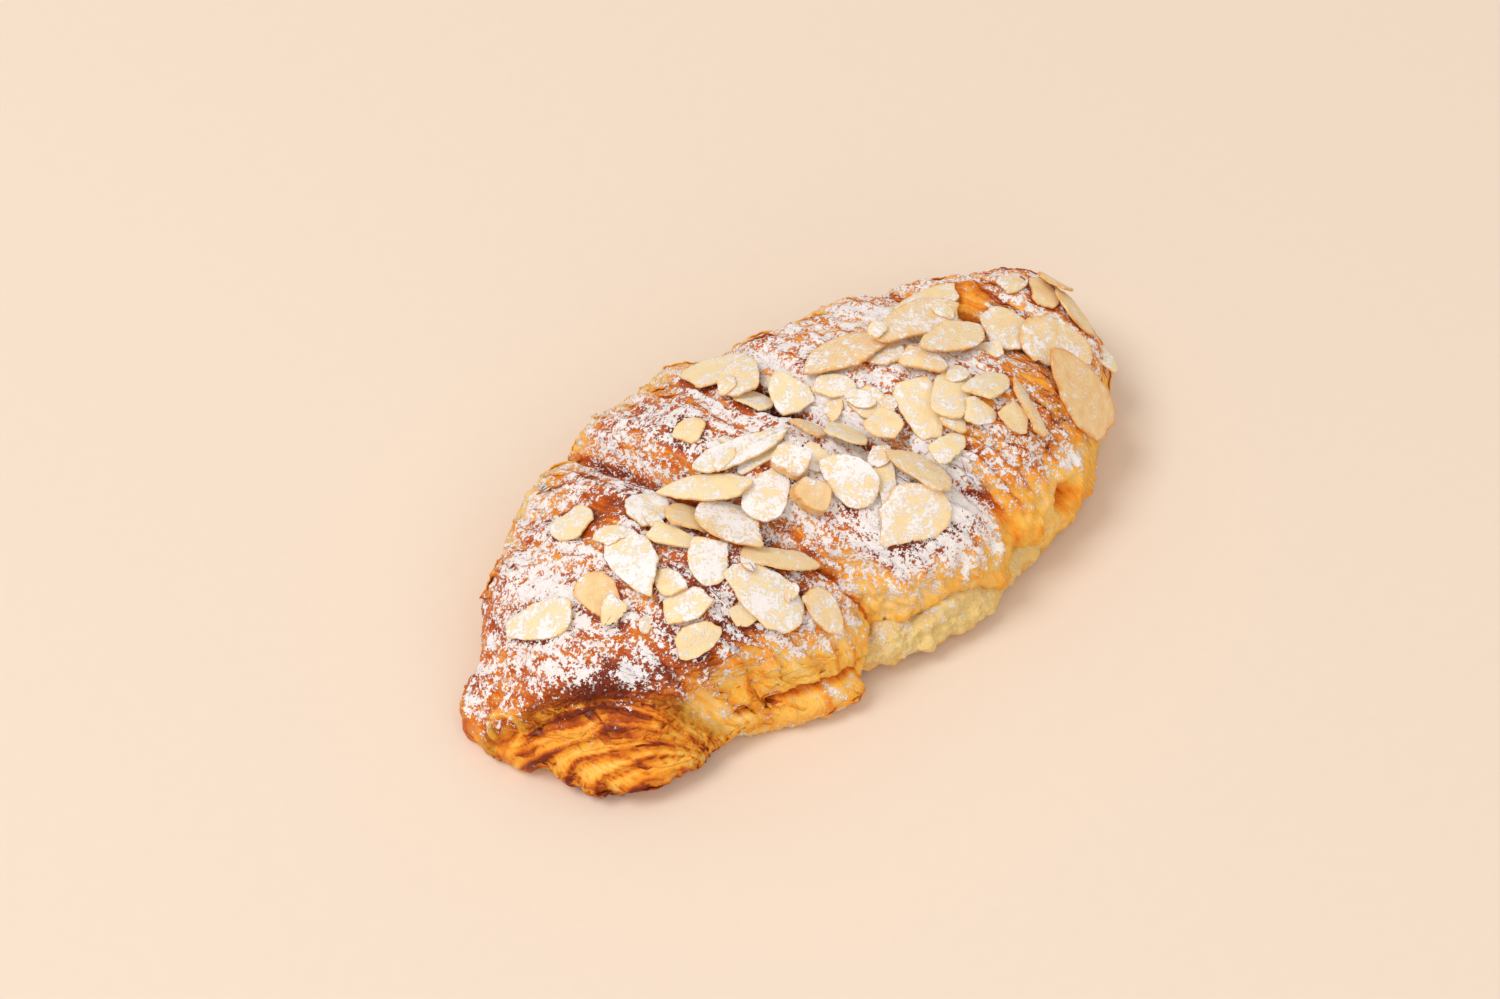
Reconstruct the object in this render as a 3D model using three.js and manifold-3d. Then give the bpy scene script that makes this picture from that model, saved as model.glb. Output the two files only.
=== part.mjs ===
// An almond croissant: a rolled, flattened and twice-baked pastry, with almond cream run out along
// one side and flaked almonds stuck to its top.
//
// Millimetres, +Z up. +X runs along the croissant from its pointed tip to its blunt end, and -Y is the
// side where the almond cream shows. The group is placed so that the middle of its box is over the
// origin and its flat underside lies at Z = 0.

import * as THREE from "three";
import { mergeVertices } from "three/addons/utils/BufferGeometryUtils.js";
import Module from "manifold-3d";

const wasm = await Module();
wasm.setup();

// ---------------------------------------------------------------- driving dimensions

const LENGTH = 165; // pastry, tip to blunt end
const WIDTH = 81; // pastry, across the middle
const HEIGHT = 36; // pastry, crest over the table
const WAIST = 10; // height at which the sides are widest
const FLAKE = 1; // thickness of a sliced almond
const CHUNK = 3; // thickness of a chopped piece
const GAP = 0.35; // clearance left under each flake and round the almond cream

// ---------------------------------------------------------------- small helpers

const clamp01 = (t) => Math.min(1, Math.max(0, t));
const smooth = (from, to, t) => {
  const s = clamp01((t - from) / (to - from));
  return s * s * (3 - 2 * s);
};
const power = (value, exponent) => Math.sign(value) * Math.abs(value) ** exponent;
const radians = THREE.MathUtils.degToRad;

// A unit sphere with its poles on X, each point moved by shape(point).
function shapedSphere(around, along, shape) {
  const sphere = new THREE.SphereGeometry(1, around, along).rotateZ(-Math.PI / 2);
  const position = sphere.getAttribute("position");
  const point = new THREE.Vector3();
  for (let i = 0; i < position.count; i++) {
    point.fromBufferAttribute(position, i);
    shape(point);
    position.setXYZ(i, point.x, point.y, point.z);
  }
  splitShortWay(sphere, around);
  return sphere;
}

// Splits each four-sided face of a shaped sphere along its shorter diagonal, so that folds stay even.
function splitShortWay(sphere, around) {
  const { index } = sphere;
  const position = sphere.getAttribute("position");
  const corner = (k) => new THREE.Vector3().fromBufferAttribute(position, k);
  for (let i = 3 * around; i < index.count - 3 * around; i += 6) {
    const [a, b, d, , c] = index.array.subarray(i, i + 6);
    if (corner(a).distanceTo(corner(c)) < corner(b).distanceTo(corner(d))) {
      index.array.set([a, b, c, a, c, d], i);
    }
  }
}

// A closed three.js geometry as a manifold-3d solid, and back.
function solidOf(geometry) {
  const bare = geometry.clone().deleteAttribute("normal").deleteAttribute("uv");
  const merged = mergeVertices(bare, 1e-3);
  const vertProperties = new Float32Array(merged.getAttribute("position").array);
  const triVerts = new Uint32Array(merged.index.array);
  return new wasm.Manifold(new wasm.Mesh({ numProp: 3, vertProperties, triVerts }));
}

function geometryOf(solid) {
  const { numProp, vertProperties, triVerts } = solid.getMesh();
  const positions = new Float32Array((vertProperties.length / numProp) * 3);
  for (let i = 0; i < positions.length / 3; i++) {
    positions.set(vertProperties.subarray(i * numProp, i * numProp + 3), i * 3);
  }
  const geometry = new THREE.BufferGeometry();
  geometry.setAttribute("position", new THREE.BufferAttribute(positions, 3));
  geometry.setIndex(new THREE.BufferAttribute(triVerts, 1));
  return geometry;
}

// ---------------------------------------------------------------- pastry

// The roll's middle line wanders to and fro as it runs along X.
const MIDDLE_LINE = new THREE.CatmullRomCurve3(
  [
    [-83, 2],
    [-73, -7],
    [-60, -6],
    [-48, -2.5],
    [-25, 1],
    [2, -1],
    [25, -5],
    [50, -4.5],
    [70, -3],
    [83, 0],
  ].map(([x, y]) => new THREE.Vector3(x, y, 0)),
).getPoints(64);

function middleAt(x) {
  const after = Math.max(1, MIDDLE_LINE.findIndex((p) => p.x >= x));
  const [a, b] = [MIDDLE_LINE[after - 1], MIDDLE_LINE[after]];
  return a.y + (b.y - a.y) * clamp01((x - a.x) / (b.x - a.x));
}

// The seams between the roll's turns. In plan, each runs along x = at + lean y + bow y^2.
const SEAMS = [
  { at: -27, lean: -0.27, bow: 0.0045, depth: 5, width: 4.5 },
  { at: 5, lean: -0.2, bow: 0.008, depth: 3.5, width: 4.5 },
  { at: 52, lean: -0.3, bow: 0.004, depth: 3, width: 4.5 },
];

// The tip is a lower turn of the roll, outside a line that slants from the tip to the near side.
const TIP_STEP = { at: -79, lean: -1.14, drop: 6, width: 12, skirt: 16 };

// The last turn of the roll ends in a knob on the far side of the blunt end.
const END_KNOB = { x: 75, y: 5, radius: 9, rise: 4 };

// The mesh's rings lean with the seams: X gained for each millimetre of Y.
const RING_LEAN = -0.25;

// How far the surface lies inside the plain dome, at one point of it.
function sinking(x, y, z, waist) {
  const grooves = SEAMS.map(({ at, lean, bow, depth, width }) => {
    const away = x - (at + lean * y + bow * y * y);
    return depth * Math.exp(-((away / width) ** 2));
  });
  const lumps = 0.7 * Math.sin(x * 0.17 + y * 0.11) + 0.6 * Math.sin(y * 0.23 - x * 0.07);
  const fromKnob = Math.hypot(x - END_KNOB.x, y - END_KNOB.y) / END_KNOB.radius;
  const knob = END_KNOB.rise * Math.exp(-(fromKnob ** 2));
  const relief = grooves.reduce((sum, g) => sum + g, lumps - knob);

  // The low tip keeps its skirt, which lies out on the table.
  const { at, lean, drop, width, skirt } = TIP_STEP;
  const outside = (at + lean * y - x) / Math.hypot(1, lean);
  const step = x < 0 ? drop * smooth(-width / 2, width / 2, outside) : 0;
  return relief * smooth(0, waist, z) + step * smooth(skirt / 4, skirt, z);
}

function shapePastry(point) {
  const plainRing = 1 - point.x ** 2;
  const lean = (RING_LEAN * WIDTH * plainRing * point.y) / LENGTH;
  const along = THREE.MathUtils.clamp(point.x + lean, -1, 1);
  const ring = Math.sqrt(1 - along * along);
  const angle = Math.atan2(point.z, point.y);
  const x = (along * LENGTH) / 2;

  // A superellipse over a shallow, tucked-in underside. The pointed end is thinner than the blunt end.
  const thinning = 1 - 0.35 * smooth(-0.8, -1, along);
  const crest = WAIST + (HEIGHT - WAIST) * Math.sqrt(1 - Math.abs(along) ** 2.6) * thinning;
  const waist = WAIST * (0.6 + 0.4 * ring) * thinning;
  const up = Math.sin(angle);
  const fullness = up < 0 ? 0.6 : point.y > 0 ? 1.05 : 0.9;
  let y = (WIDTH / 2) * ring * power(Math.cos(angle), fullness);
  let z = waist + (up > 0 ? (crest - WAIST) * up ** 0.9 : 0);
  if (up < 0) z -= (waist + 1.2) * Math.abs(up) ** 0.7 * clamp01(ring / 0.25) ** 0.6;

  // The seams and the low tip pull the surface in, towards the roll's middle, and fade out underneath.
  const inward = sinking(x, y, z, waist) * clamp01(ring / 0.35);
  const core = new THREE.Vector2(0, waist * 0.6);
  const reach = Math.hypot(y - core.x, z - core.y);
  const keep = reach > 0 ? Math.max(0.3, 1 - inward / reach) : 1;
  y *= keep;
  z = core.y + (z - core.y) * keep;
  point.set(x, middleAt(x) + y, Math.max(0, z));
}

// The lower crust sticks out from under the near side as a short torn tab.
const TAB_PLAN = [
  [-44, -24],
  [-43, -32],
  [-33, -37],
  [-23, -41.5],
  [-20, -41],
  [-18, -37],
  [-16, -26],
];
const TAB_HEIGHT = 7.5;

function tabGeometry() {
  const plan = new THREE.Shape(TAB_PLAN.map(([x, y]) => new THREE.Vector2(x, y)));
  return new THREE.ExtrudeGeometry(plan, {
    depth: TAB_HEIGHT - 2,
    bevelThickness: 1,
    bevelSize: 1,
    bevelSegments: 1,
    curveSegments: 4,
  }).translate(0, 0, 1);
}

// ---------------------------------------------------------------- almond cream

// The cream has run out on the near side, from the first seam round to the blunt end.
const CREAM_PATH = new THREE.CatmullRomCurve3(
  [
    [-16, -35],
    [0, -38.5],
    [16, -37],
    [30, -34.5],
    [44, -32],
    [56, -25.5],
    [68, -17],
  ].map(([x, y]) => new THREE.Vector3(x, y, 6)),
);
const CREAM_HALF_WIDTH = 6;
const CREAM_HALF_HEIGHT = 6.5;

// grow makes the cutter for the cream's bed, larger than the cream by that clearance.
function creamGeometry(grow = 0) {
  const shape = (point) => {
    const along = THREE.MathUtils.clamp(point.x, -1, 1);
    const ring = Math.sqrt(1 - along * along);
    const share = THREE.MathUtils.clamp(0.5 + along * (0.5 + grow / 100), 0, 1);
    const middle = CREAM_PATH.getPointAt(share);
    const tangent = CREAM_PATH.getTangentAt(share);
    const out = new THREE.Vector3(tangent.y, -tangent.x, 0);
    const angle = Math.atan2(point.z, point.y);
    const lumps = 0.1 * Math.sin(share * 27) + 0.09 * Math.sin(share * 41 + 2 * angle);
    const full = Math.sqrt(ring) * (1 + lumps);
    const round = new THREE.Vector2(-point.y, point.z).normalize();
    if (ring < 1e-6) round.set(0, 0);
    const outward = round.x * (CREAM_HALF_WIDTH * full + grow);
    const up = round.y * (CREAM_HALF_HEIGHT * full + grow);
    point.copy(middle).addScaledVector(out, outward);
    point.z = Math.max(grow ? -2 : 0.3, middle.z + up);
  };
  return shapedSphere(20, 30, shape);
}

// ---------------------------------------------------------------- flaked almonds

// Outlines in plan, along +X, with their middle at the origin.
const OUTLINE_POINTS = 18;

const OUTLINES = {
  // A slice through the whole kernel: pointed at one end.
  whole: (a) => [Math.cos(a), Math.sin(a) * (1 - 0.34 * Math.cos(a))],
  // A slice across the kernel: nearly round.
  round: (a) => [Math.cos(a), Math.sin(a) * (1 - 0.08 * Math.cos(a))],
  // A slice snapped across, so that one end is straight.
  broken: (a) => [Math.max(-0.62 + 0.12 * Math.sin(a), Math.cos(a)), Math.sin(a)],
  // A slice split lengthways, so that one side is straight.
  sliver: (a) => [Math.cos(a), Math.max(-0.35, Math.sin(a)) * (1 - 0.2 * Math.cos(a))],
  // A chopped piece: a rounded block.
  chunk: (a) => [power(Math.cos(a), 0.6), power(Math.sin(a), 0.6)],
};

// Each row is a flake: its middle in plan, the way its point faces in degrees, its length and width.
// A flake lies on those above it in the list, where they overlap.
const FLAKES = [
  // over the tip's shoulder
  { x: -65, y: 1, facing: 125, length: 17, width: 7.5, kind: "whole" },
  { x: -55, y: -5, facing: -85, length: 9, width: 8, kind: "round" },
  { x: -55, y: -10, facing: -155, length: 7, width: 4.5, kind: "broken" },
  { x: -47, y: 12, facing: -90, length: 10, width: 8.5, kind: "round" },
  { x: -47, y: -24, facing: -15, length: 11, width: 6, kind: "broken" },
  { x: -45, y: -19, facing: -20, length: 12, width: 6.5, kind: "broken" },
  { x: -44, y: -14, facing: 90, length: 8, width: 5, kind: "broken" },
  { x: -46, y: -6, facing: -105, length: 17, width: 8.5, kind: "whole" },
  { x: -36, y: 3, facing: 10, length: 11, width: 8.5, kind: "broken" },
  // along the first seam
  { x: -37, y: -7, facing: -60, length: 12, width: 4.5, kind: "whole" },
  { x: -36, y: -26, facing: 0, length: 8, width: 5, kind: "broken" },
  { x: -35, y: -15, facing: -130, length: 11, width: 8, kind: "broken" },
  { x: -31, y: -26, facing: 115, length: 18, width: 10, kind: "whole" },
  { x: -22, y: -33, facing: -80, length: 13, width: 6.5, kind: "broken" },
  { x: -31, y: -5, facing: -55, length: 10, width: 9.5, kind: "round" },
  { x: -23, y: -21, facing: 150, length: 18, width: 9, kind: "sliver" },
  { x: -26, y: -12, facing: -80, length: 15, width: 11.5, kind: "whole" },
  { x: -16, y: -11, facing: 25, length: 13, width: 8, kind: "whole" },
  { x: -25, y: -2, facing: 130, length: 19, width: 7, kind: "whole" },
  // over the middle turn
  { x: -17, y: 11, facing: 20, length: 7, width: 6, kind: "round" },
  { x: -11, y: -5, facing: -15, length: 12, width: 5, kind: "sliver" },
  { x: -13, y: -1, facing: -20, length: 21, width: 7, kind: "whole" },
  { x: -4, y: -11, facing: -65, length: 8, width: 6, kind: "broken" },
  { x: -9, y: -10, facing: -65, length: 7, width: 6, kind: "chunk" },
  { x: -11, y: -17, facing: -40, length: 7.5, width: 6, kind: "chunk" },
  { x: 0, y: -5, facing: -75, length: 9, width: 7, kind: "broken" },
  { x: 4, y: -22, facing: -120, length: 14, width: 6, kind: "sliver" },
  { x: -2, y: -19, facing: 105, length: 13, width: 8.5, kind: "whole" },
  { x: 5, y: -11, facing: -75, length: 10, width: 8, kind: "round" },
  { x: 3, y: -31, facing: -20, length: 18, width: 12, kind: "broken" },
  { x: 11, y: -25, facing: 100, length: 15, width: 10, kind: "whole" },
  // on the far side
  { x: -1, y: 10, facing: -35, length: 8, width: 7.5, kind: "round" },
  { x: 1, y: 23, facing: -15, length: 15, width: 11, kind: "whole" },
  { x: 1, y: 16, facing: 35, length: 14, width: 7.5, kind: "whole" },
  // past the middle seam
  { x: 5, y: 5, facing: 75, length: 12, width: 8, kind: "broken" },
  { x: 12, y: 1, facing: -50, length: 10, width: 6, kind: "broken" },
  { x: 15, y: -7, facing: -85, length: 10, width: 7, kind: "broken" },
  { x: 12, y: -14, facing: -70, length: 9, width: 7.5, kind: "broken" },
  { x: 22, y: -15, facing: -115, length: 16, width: 8.5, kind: "whole" },
  { x: 19, y: -25, facing: 5, length: 11, width: 5.5, kind: "broken" },
  { x: 25, y: -21, facing: -70, length: 7, width: 5.5, kind: "broken" },
  { x: 30, y: -16, facing: 30, length: 16, width: 8.5, kind: "whole" },
  { x: 30, y: -23, facing: -25, length: 9, width: 5.5, kind: "broken" },
  { x: 35, y: -20, facing: 10, length: 17, width: 6.5, kind: "broken" },
  { x: 26, y: 0, facing: -65, length: 10, width: 8, kind: "round" },
  { x: 19, y: 6, facing: 160, length: 19, width: 11, kind: "whole" },
  { x: 29, y: -7, facing: -55, length: 11, width: 7, kind: "broken" },
  { x: 47, y: 8, facing: 5, length: 18, width: 10, kind: "whole" },
  { x: 37, y: 2, facing: 180, length: 24, width: 10, kind: "whole" },
  { x: 39, y: -6, facing: 180, length: 18, width: 7.5, kind: "whole" },
  // round the blunt end
  { x: 36, y: -27, facing: -65, length: 9, width: 6, kind: "broken" },
  { x: 41, y: -27, facing: 75, length: 14, width: 6.5, kind: "sliver" },
  { x: 54, y: -7, facing: -85, length: 12, width: 11, kind: "round" },
  { x: 61, y: -16, facing: -30, length: 17, width: 13, kind: "round" },
  { x: 57, y: -27, facing: 100, length: 21, width: 14, kind: "whole" },
  { x: 70, y: -3, facing: -120, length: 10, width: 7, kind: "round" },
  { x: 73, y: -10, facing: -85, length: 12, width: 8, kind: "whole" },
  { x: 74, y: -3, facing: -100, length: 8, width: 8, kind: "round" },
];

function flakeGeometry({ length, width, kind }, grow = 0) {
  const points = Array.from({ length: OUTLINE_POINTS }, (_, i) => {
    const [along, across] = OUTLINES[kind]((2 * Math.PI * i) / OUTLINE_POINTS);
    return new THREE.Vector2(along * (length / 2 + grow), across * (width / 2 + grow));
  });
  const outline = new THREE.Shape(points);
  const depth = kind === "chunk" ? CHUNK : FLAKE;
  return new THREE.ExtrudeGeometry(outline, { depth, bevelEnabled: false });
}

// ---------------------------------------------------------------- laying the flakes down

// The height of what lies under each square of the plan, filled from the meshes laid so far.
const CELL = 0.5;
const COLUMNS = 400;
const ROWS = 240;
const columnAt = (x) => Math.round(x / CELL + COLUMNS / 2);
const rowAt = (y) => Math.round(y / CELL + ROWS / 2);
const support = new Float32Array(COLUMNS * ROWS);

// Calls visit(column, row, u, v) for each square whose middle is in the triangle, seen from above.
function eachCell([a, b, c], visit) {
  const area = (b.x - a.x) * (c.y - a.y) - (c.x - a.x) * (b.y - a.y);
  if (Math.abs(area) < 1e-9) return;
  const [fromColumn, toColumn] = [Math.min(a.x, b.x, c.x), Math.max(a.x, b.x, c.x)].map(columnAt);
  const [fromRow, toRow] = [Math.min(a.y, b.y, c.y), Math.max(a.y, b.y, c.y)].map(rowAt);
  for (let row = fromRow; row <= toRow; row++) {
    for (let column = fromColumn; column <= toColumn; column++) {
      const x = (column - COLUMNS / 2) * CELL - a.x;
      const y = (row - ROWS / 2) * CELL - a.y;
      const u = (x * (c.y - a.y) - (c.x - a.x) * y) / area;
      const v = ((b.x - a.x) * y - x * (b.y - a.y)) / area;
      if (u >= 0 && v >= 0 && u + v <= 1) visit(column, row, u, v);
    }
  }
}

function eachTriangle(mesh, visit) {
  mesh.updateMatrixWorld(true);
  const geometry = mesh.geometry.index ? mesh.geometry.toNonIndexed() : mesh.geometry;
  const position = geometry.getAttribute("position");
  for (let i = 0; i < position.count; i += 3) {
    const corners = [i, i + 1, i + 2].map((k) =>
      new THREE.Vector3().fromBufferAttribute(position, k).applyMatrix4(mesh.matrixWorld),
    );
    visit(corners);
  }
}

function addSupport(mesh) {
  eachTriangle(mesh, (corners) => {
    const [a, b, c] = corners;
    eachCell(corners, (column, row, u, v) => {
      const height = a.z + u * (b.z - a.z) + v * (c.z - a.z);
      const at = row * COLUMNS + column;
      support[at] = Math.max(support[at], height);
    });
  });
}

// The steepest that a flake lies, as rise over run.
const STEEPEST = 1.5;

// The lowest plane over the squares: its slopes, and its height at the flake's middle. The height needed
// is a convex function of the two slopes, so a pattern search with shrinking steps finds the least.
function lowestPlane(squares, start) {
  const heightFor = ([sx, sy]) =>
    squares.reduce((top, [dx, dy, h]) => Math.max(top, h - sx * dx - sy * dy), -Infinity);
  let slopes = start;
  let height = heightFor(slopes);
  for (let step = 0.4; step > 0.004; step /= 2) {
    for (let improved = true; improved; ) {
      improved = false;
      for (let turn = 0; turn < 8; turn++) {
        const heading = (turn * Math.PI) / 4;
        const tried = [
          THREE.MathUtils.clamp(slopes[0] + step * Math.cos(heading), -STEEPEST, STEEPEST),
          THREE.MathUtils.clamp(slopes[1] + step * Math.sin(heading), -STEEPEST, STEEPEST),
        ];
        const needed = heightFor(tried);
        if (needed < height - 1e-4) [slopes, height, improved] = [tried, needed, true];
      }
    }
  }
  return { slopes, height };
}

// Turns the mesh so that it lies on the plane, with its point facing the way its row says.
function lieOn(mesh, { x, y, facing }, { slopes, height }) {
  const normal = new THREE.Vector3(-slopes[0], -slopes[1], 1).normalize();
  const [c, s] = [Math.cos(radians(facing)), Math.sin(radians(facing))];
  const ahead = new THREE.Vector3(c, s, slopes[0] * c + slopes[1] * s).normalize();
  const side = new THREE.Vector3().crossVectors(normal, ahead);
  mesh.quaternion.setFromRotationMatrix(new THREE.Matrix4().makeBasis(ahead, side, normal));
  mesh.position.set(x, y, height + GAP);
}

// Lays a flake on the pastry, the cream and the flakes before it, like a stiff plate.
const MARGIN = 1; // tested round the outline, so that leaning edges clear their neighbours too

function layFlake(flake, material, name) {
  const tester = new THREE.Mesh(flakeGeometry(flake, MARGIN));
  let plane = { slopes: [0, 0], height: 0 };
  for (let pass = 0; pass < 4; pass++) {
    lieOn(tester, flake, plane);
    const squares = [];
    eachTriangle(tester, (corners) =>
      eachCell(corners, (column, row) => {
        const dx = (column - COLUMNS / 2) * CELL - flake.x;
        const dy = (row - ROWS / 2) * CELL - flake.y;
        squares.push([dx, dy, support[row * COLUMNS + column]]);
      }),
    );
    plane = lowestPlane(squares, plane.slopes);
  }
  const mesh = new THREE.Mesh(flakeGeometry(flake), material);
  mesh.name = name;
  lieOn(mesh, flake, plane);
  addSupport(mesh);
  return mesh;
}

// ---------------------------------------------------------------- materials

const crust = new THREE.MeshStandardMaterial({ color: 0xc47a34, roughness: 0.5 });
const cream = new THREE.MeshStandardMaterial({ color: 0xe6c483, roughness: 0.8 });
const almond = new THREE.MeshStandardMaterial({ color: 0xecd2a0, roughness: 0.6 });

// ---------------------------------------------------------------- assembly

function pastryMesh() {
  const roll = solidOf(shapedSphere(48, 76, shapePastry));
  const withTab = roll.add(solidOf(tabGeometry()));
  const bedded = withTab.subtract(solidOf(creamGeometry(GAP)));
  const largest = bedded.decompose().sort((a, b) => b.volume() - a.volume())[0];
  const mesh = new THREE.Mesh(geometryOf(largest), crust);
  mesh.name = "pastry";
  return mesh;
}

function creamMesh() {
  const mesh = new THREE.Mesh(creamGeometry(), cream);
  mesh.name = "almond_cream";
  return mesh;
}

const croissant = new THREE.Group();
croissant.add(pastryMesh(), creamMesh());
croissant.children.forEach(addSupport);
FLAKES.forEach((flake, i) => {
  const number = String(i + 1).padStart(2, "0");
  croissant.add(layFlake(flake, almond, `almond_flake_${number}`));
});

const box = new THREE.Box3().setFromObject(croissant, true);
const middle = box.getCenter(new THREE.Vector3());
croissant.position.set(-middle.x, -middle.y, -box.min.z);

export default croissant;
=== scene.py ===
import itertools
import math
from collections import namedtuple

import bpy
import numpy as np
from bpy.props import FloatProperty, FloatVectorProperty, PointerProperty
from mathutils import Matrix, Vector
from mathutils.bvhtree import BVHTree


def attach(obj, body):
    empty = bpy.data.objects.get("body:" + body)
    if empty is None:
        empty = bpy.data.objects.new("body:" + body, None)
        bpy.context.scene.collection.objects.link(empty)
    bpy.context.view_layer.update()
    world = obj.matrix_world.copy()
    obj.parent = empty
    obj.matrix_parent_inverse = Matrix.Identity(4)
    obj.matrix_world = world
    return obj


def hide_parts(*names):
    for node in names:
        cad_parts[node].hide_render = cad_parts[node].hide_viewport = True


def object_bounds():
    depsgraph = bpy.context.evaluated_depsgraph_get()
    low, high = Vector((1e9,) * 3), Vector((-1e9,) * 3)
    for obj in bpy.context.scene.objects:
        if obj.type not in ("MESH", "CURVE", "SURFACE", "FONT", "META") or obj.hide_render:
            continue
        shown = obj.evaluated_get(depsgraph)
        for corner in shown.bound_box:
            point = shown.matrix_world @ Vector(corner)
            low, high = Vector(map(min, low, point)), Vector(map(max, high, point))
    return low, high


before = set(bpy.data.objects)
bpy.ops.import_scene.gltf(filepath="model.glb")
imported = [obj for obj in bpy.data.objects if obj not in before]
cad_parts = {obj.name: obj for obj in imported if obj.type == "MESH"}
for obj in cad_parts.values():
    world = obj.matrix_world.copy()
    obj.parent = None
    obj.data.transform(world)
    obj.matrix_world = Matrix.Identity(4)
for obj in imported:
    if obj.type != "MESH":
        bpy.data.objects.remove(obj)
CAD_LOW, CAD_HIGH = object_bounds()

bl_info = {
    "name": "Almond Croissant",
    "version": (1, 0, 0),
    "blender": (4, 5, 0),
    "location": "3D View > Sidebar > Croissant",
    "description": "Bakes, tops and dusts an almond croissant over its packed solids",
    "category": "Object",
}

# The shapes are worked out in millimetres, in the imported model's own axes: +X from the pointed tip to
# the blunt end, -Y the near side, where the almond cream shows, and +Z up.
MM = 0.001

# The sugar attribute where the sifted powder can't reach.
NO_SUGAR = -1.0

# Each kind of piece has its own noise, and the leaves' places are drawn at random.
SEEDS = {"pastry": 11, "cream": 23, "flakes": 37, "slivers": 41, "leaves": 53, "leaf_places": 5}


# ------------------------------------------------------------------------------ sizes and colours


def length(name, description, millimetres):
    """A length that a user can change."""
    return FloatProperty(
        name=name, description=description, default=millimetres * MM, unit="LENGTH", precision=5
    )


def colour(name, description, red, green, blue):
    """A colour that a user can change, given as a screen shows it and kept as linear light."""
    linear = [((c + 0.055) / 1.055) ** 2.4 for c in (red, green, blue)]
    return FloatVectorProperty(
        name=name, description=description, default=linear, subtype="COLOR", min=0, max=1
    )


class CroissantSizes(bpy.types.PropertyGroup):
    """Sizes of the fine surface."""

    layer_step: length("Layer step", "Height of the dough layers' edges on the near side", 0.75)
    tip_fold: length("Tip fold", "Height of the folds on the low turn at the tip", 1.3)
    lump: length("Lump", "Height of the dough's lumps", 0.75)
    sugar_depth: length("Sugar depth", "Thickness of the icing sugar's clumps", 0.35)
    flake_curl: length("Flake curl", "How far a flaked almond's ends bend down", 0.6)
    crumb: length("Crumb", "Height of the almond cream's crumbs", 0.8)


class CroissantColours(bpy.types.PropertyGroup):
    """Colours of the finishes."""

    pale: colour("Pale crumb", "Dough that never browned", 0.98, 0.83, 0.55)
    golden: colour("Golden crust", "Lightly baked crust", 0.98, 0.75, 0.33)
    orange: colour("Orange crust", "Well baked crust", 0.95, 0.60, 0.17)
    brown: colour("Brown crust", "Dark glazed crust", 0.76, 0.34, 0.06)
    # Painted shade in the pits, seams and hollows also runs towards this dark crust.
    dark: colour("Dark crust", "The darkest crust and the pits", 0.48, 0.16, 0.04)
    sugar: colour("Icing sugar", "Powder sifted over the top", 1.0, 0.97, 0.97)
    almond: colour("Almond", "Inside of a flaked almond", 0.96, 0.86, 0.67)
    toasted: colour("Toasted almond", "Edges and blisters of a flaked almond", 0.87, 0.61, 0.30)
    cream: colour("Almond cream", "Baked almond cream", 1.0, 0.87, 0.58)
    cream_edge: colour("Browned cream", "Almond cream that met the tray", 0.99, 0.74, 0.28)
    table: colour("Table", "Plain table under the croissant", 0.91, 0.84, 0.775)


# ------------------------------------------------------------------------------ numbers and noise


def ramp(low, high, value):
    """0 below low, 1 above high and smooth between; low may be the larger."""
    share = np.clip((value - low) / (high - low), 0, 1)
    return share * share * (3 - 2 * share)


def mix(first, second, share):
    return first + (second - first) * share


class Noise:
    """Smooth seeded noise in space, the same on every run."""

    CELLS = 256  # the pattern repeats after this many features
    SWING = 1.6  # brings the sums of slopes up to a range of about -1 to 1

    def __init__(self, seed):
        random = np.random.default_rng(seed)
        self.order = np.tile(random.permutation(self.CELLS), 3)
        slopes = random.normal(size=(self.CELLS, 3))
        self.slopes = slopes / np.linalg.norm(slopes, axis=1, keepdims=True)

    def at(self, points, size):
        """Values from about -1 to 1 at the points, with features of about this size."""
        places = np.asarray(points, float).reshape(-1, 3) / size
        cell = np.floor(places).astype(int)
        inside = places - cell
        fade = inside**3 * (inside * (inside * 6 - 15) + 10)
        total = np.zeros(len(places))
        for corner in itertools.product((0, 1), repeat=3):
            near = (cell + corner) % self.CELLS
            key = self.order[self.order[self.order[near[:, 0]] + near[:, 1]] + near[:, 2]]
            value = np.sum(self.slopes[key] * (inside - corner), axis=1)
            total += value * np.prod(np.where(corner, fade, 1 - fade), axis=1)
        return self.SWING * total.reshape(np.shape(points)[:-1])


def fold(value):
    """A shingle's profile: rises from 0 to 1 over each whole step, then drops."""
    return value - np.floor(value)


def blur(values, spread, axis, wrap):
    """Averages a grid along one axis with a bell of this spread, in grid steps."""
    reach = int(math.ceil(3 * spread))
    if not wrap:
        margin = [(reach, reach) if a == axis else (0, 0) for a in range(values.ndim)]
        values = np.pad(values, margin, mode="edge")
    offsets = range(-reach, reach + 1)
    weights = np.exp([-0.5 * (k / spread) ** 2 for k in offsets])
    total = sum(w * np.roll(values, k, axis) for k, w in zip(offsets, weights / weights.sum()))
    if wrap:
        return total
    return np.take(total, range(reach, total.shape[axis] - reach), axis)


# ------------------------------------------------------------------------------ meshes


def corners_of(thing):
    """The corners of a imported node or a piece, in millimetres."""
    values = np.empty(len(thing.data.vertices) * 3, np.float32)
    thing.data.vertices.foreach_get("co", values)
    return values.reshape(-1, 3).astype(float) / MM


def faces_of(thing):
    return [tuple(polygon.vertices) for polygon in thing.data.polygons]


def tree_of(things):
    """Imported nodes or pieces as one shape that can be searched, in millimetres."""
    points, faces = [], []
    for thing in things:
        start = len(points)
        points.extend(corners_of(thing).tolist())
        faces.extend(tuple(start + k for k in face) for face in faces_of(thing))
    return BVHTree.FromPolygons(points, faces)


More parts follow.
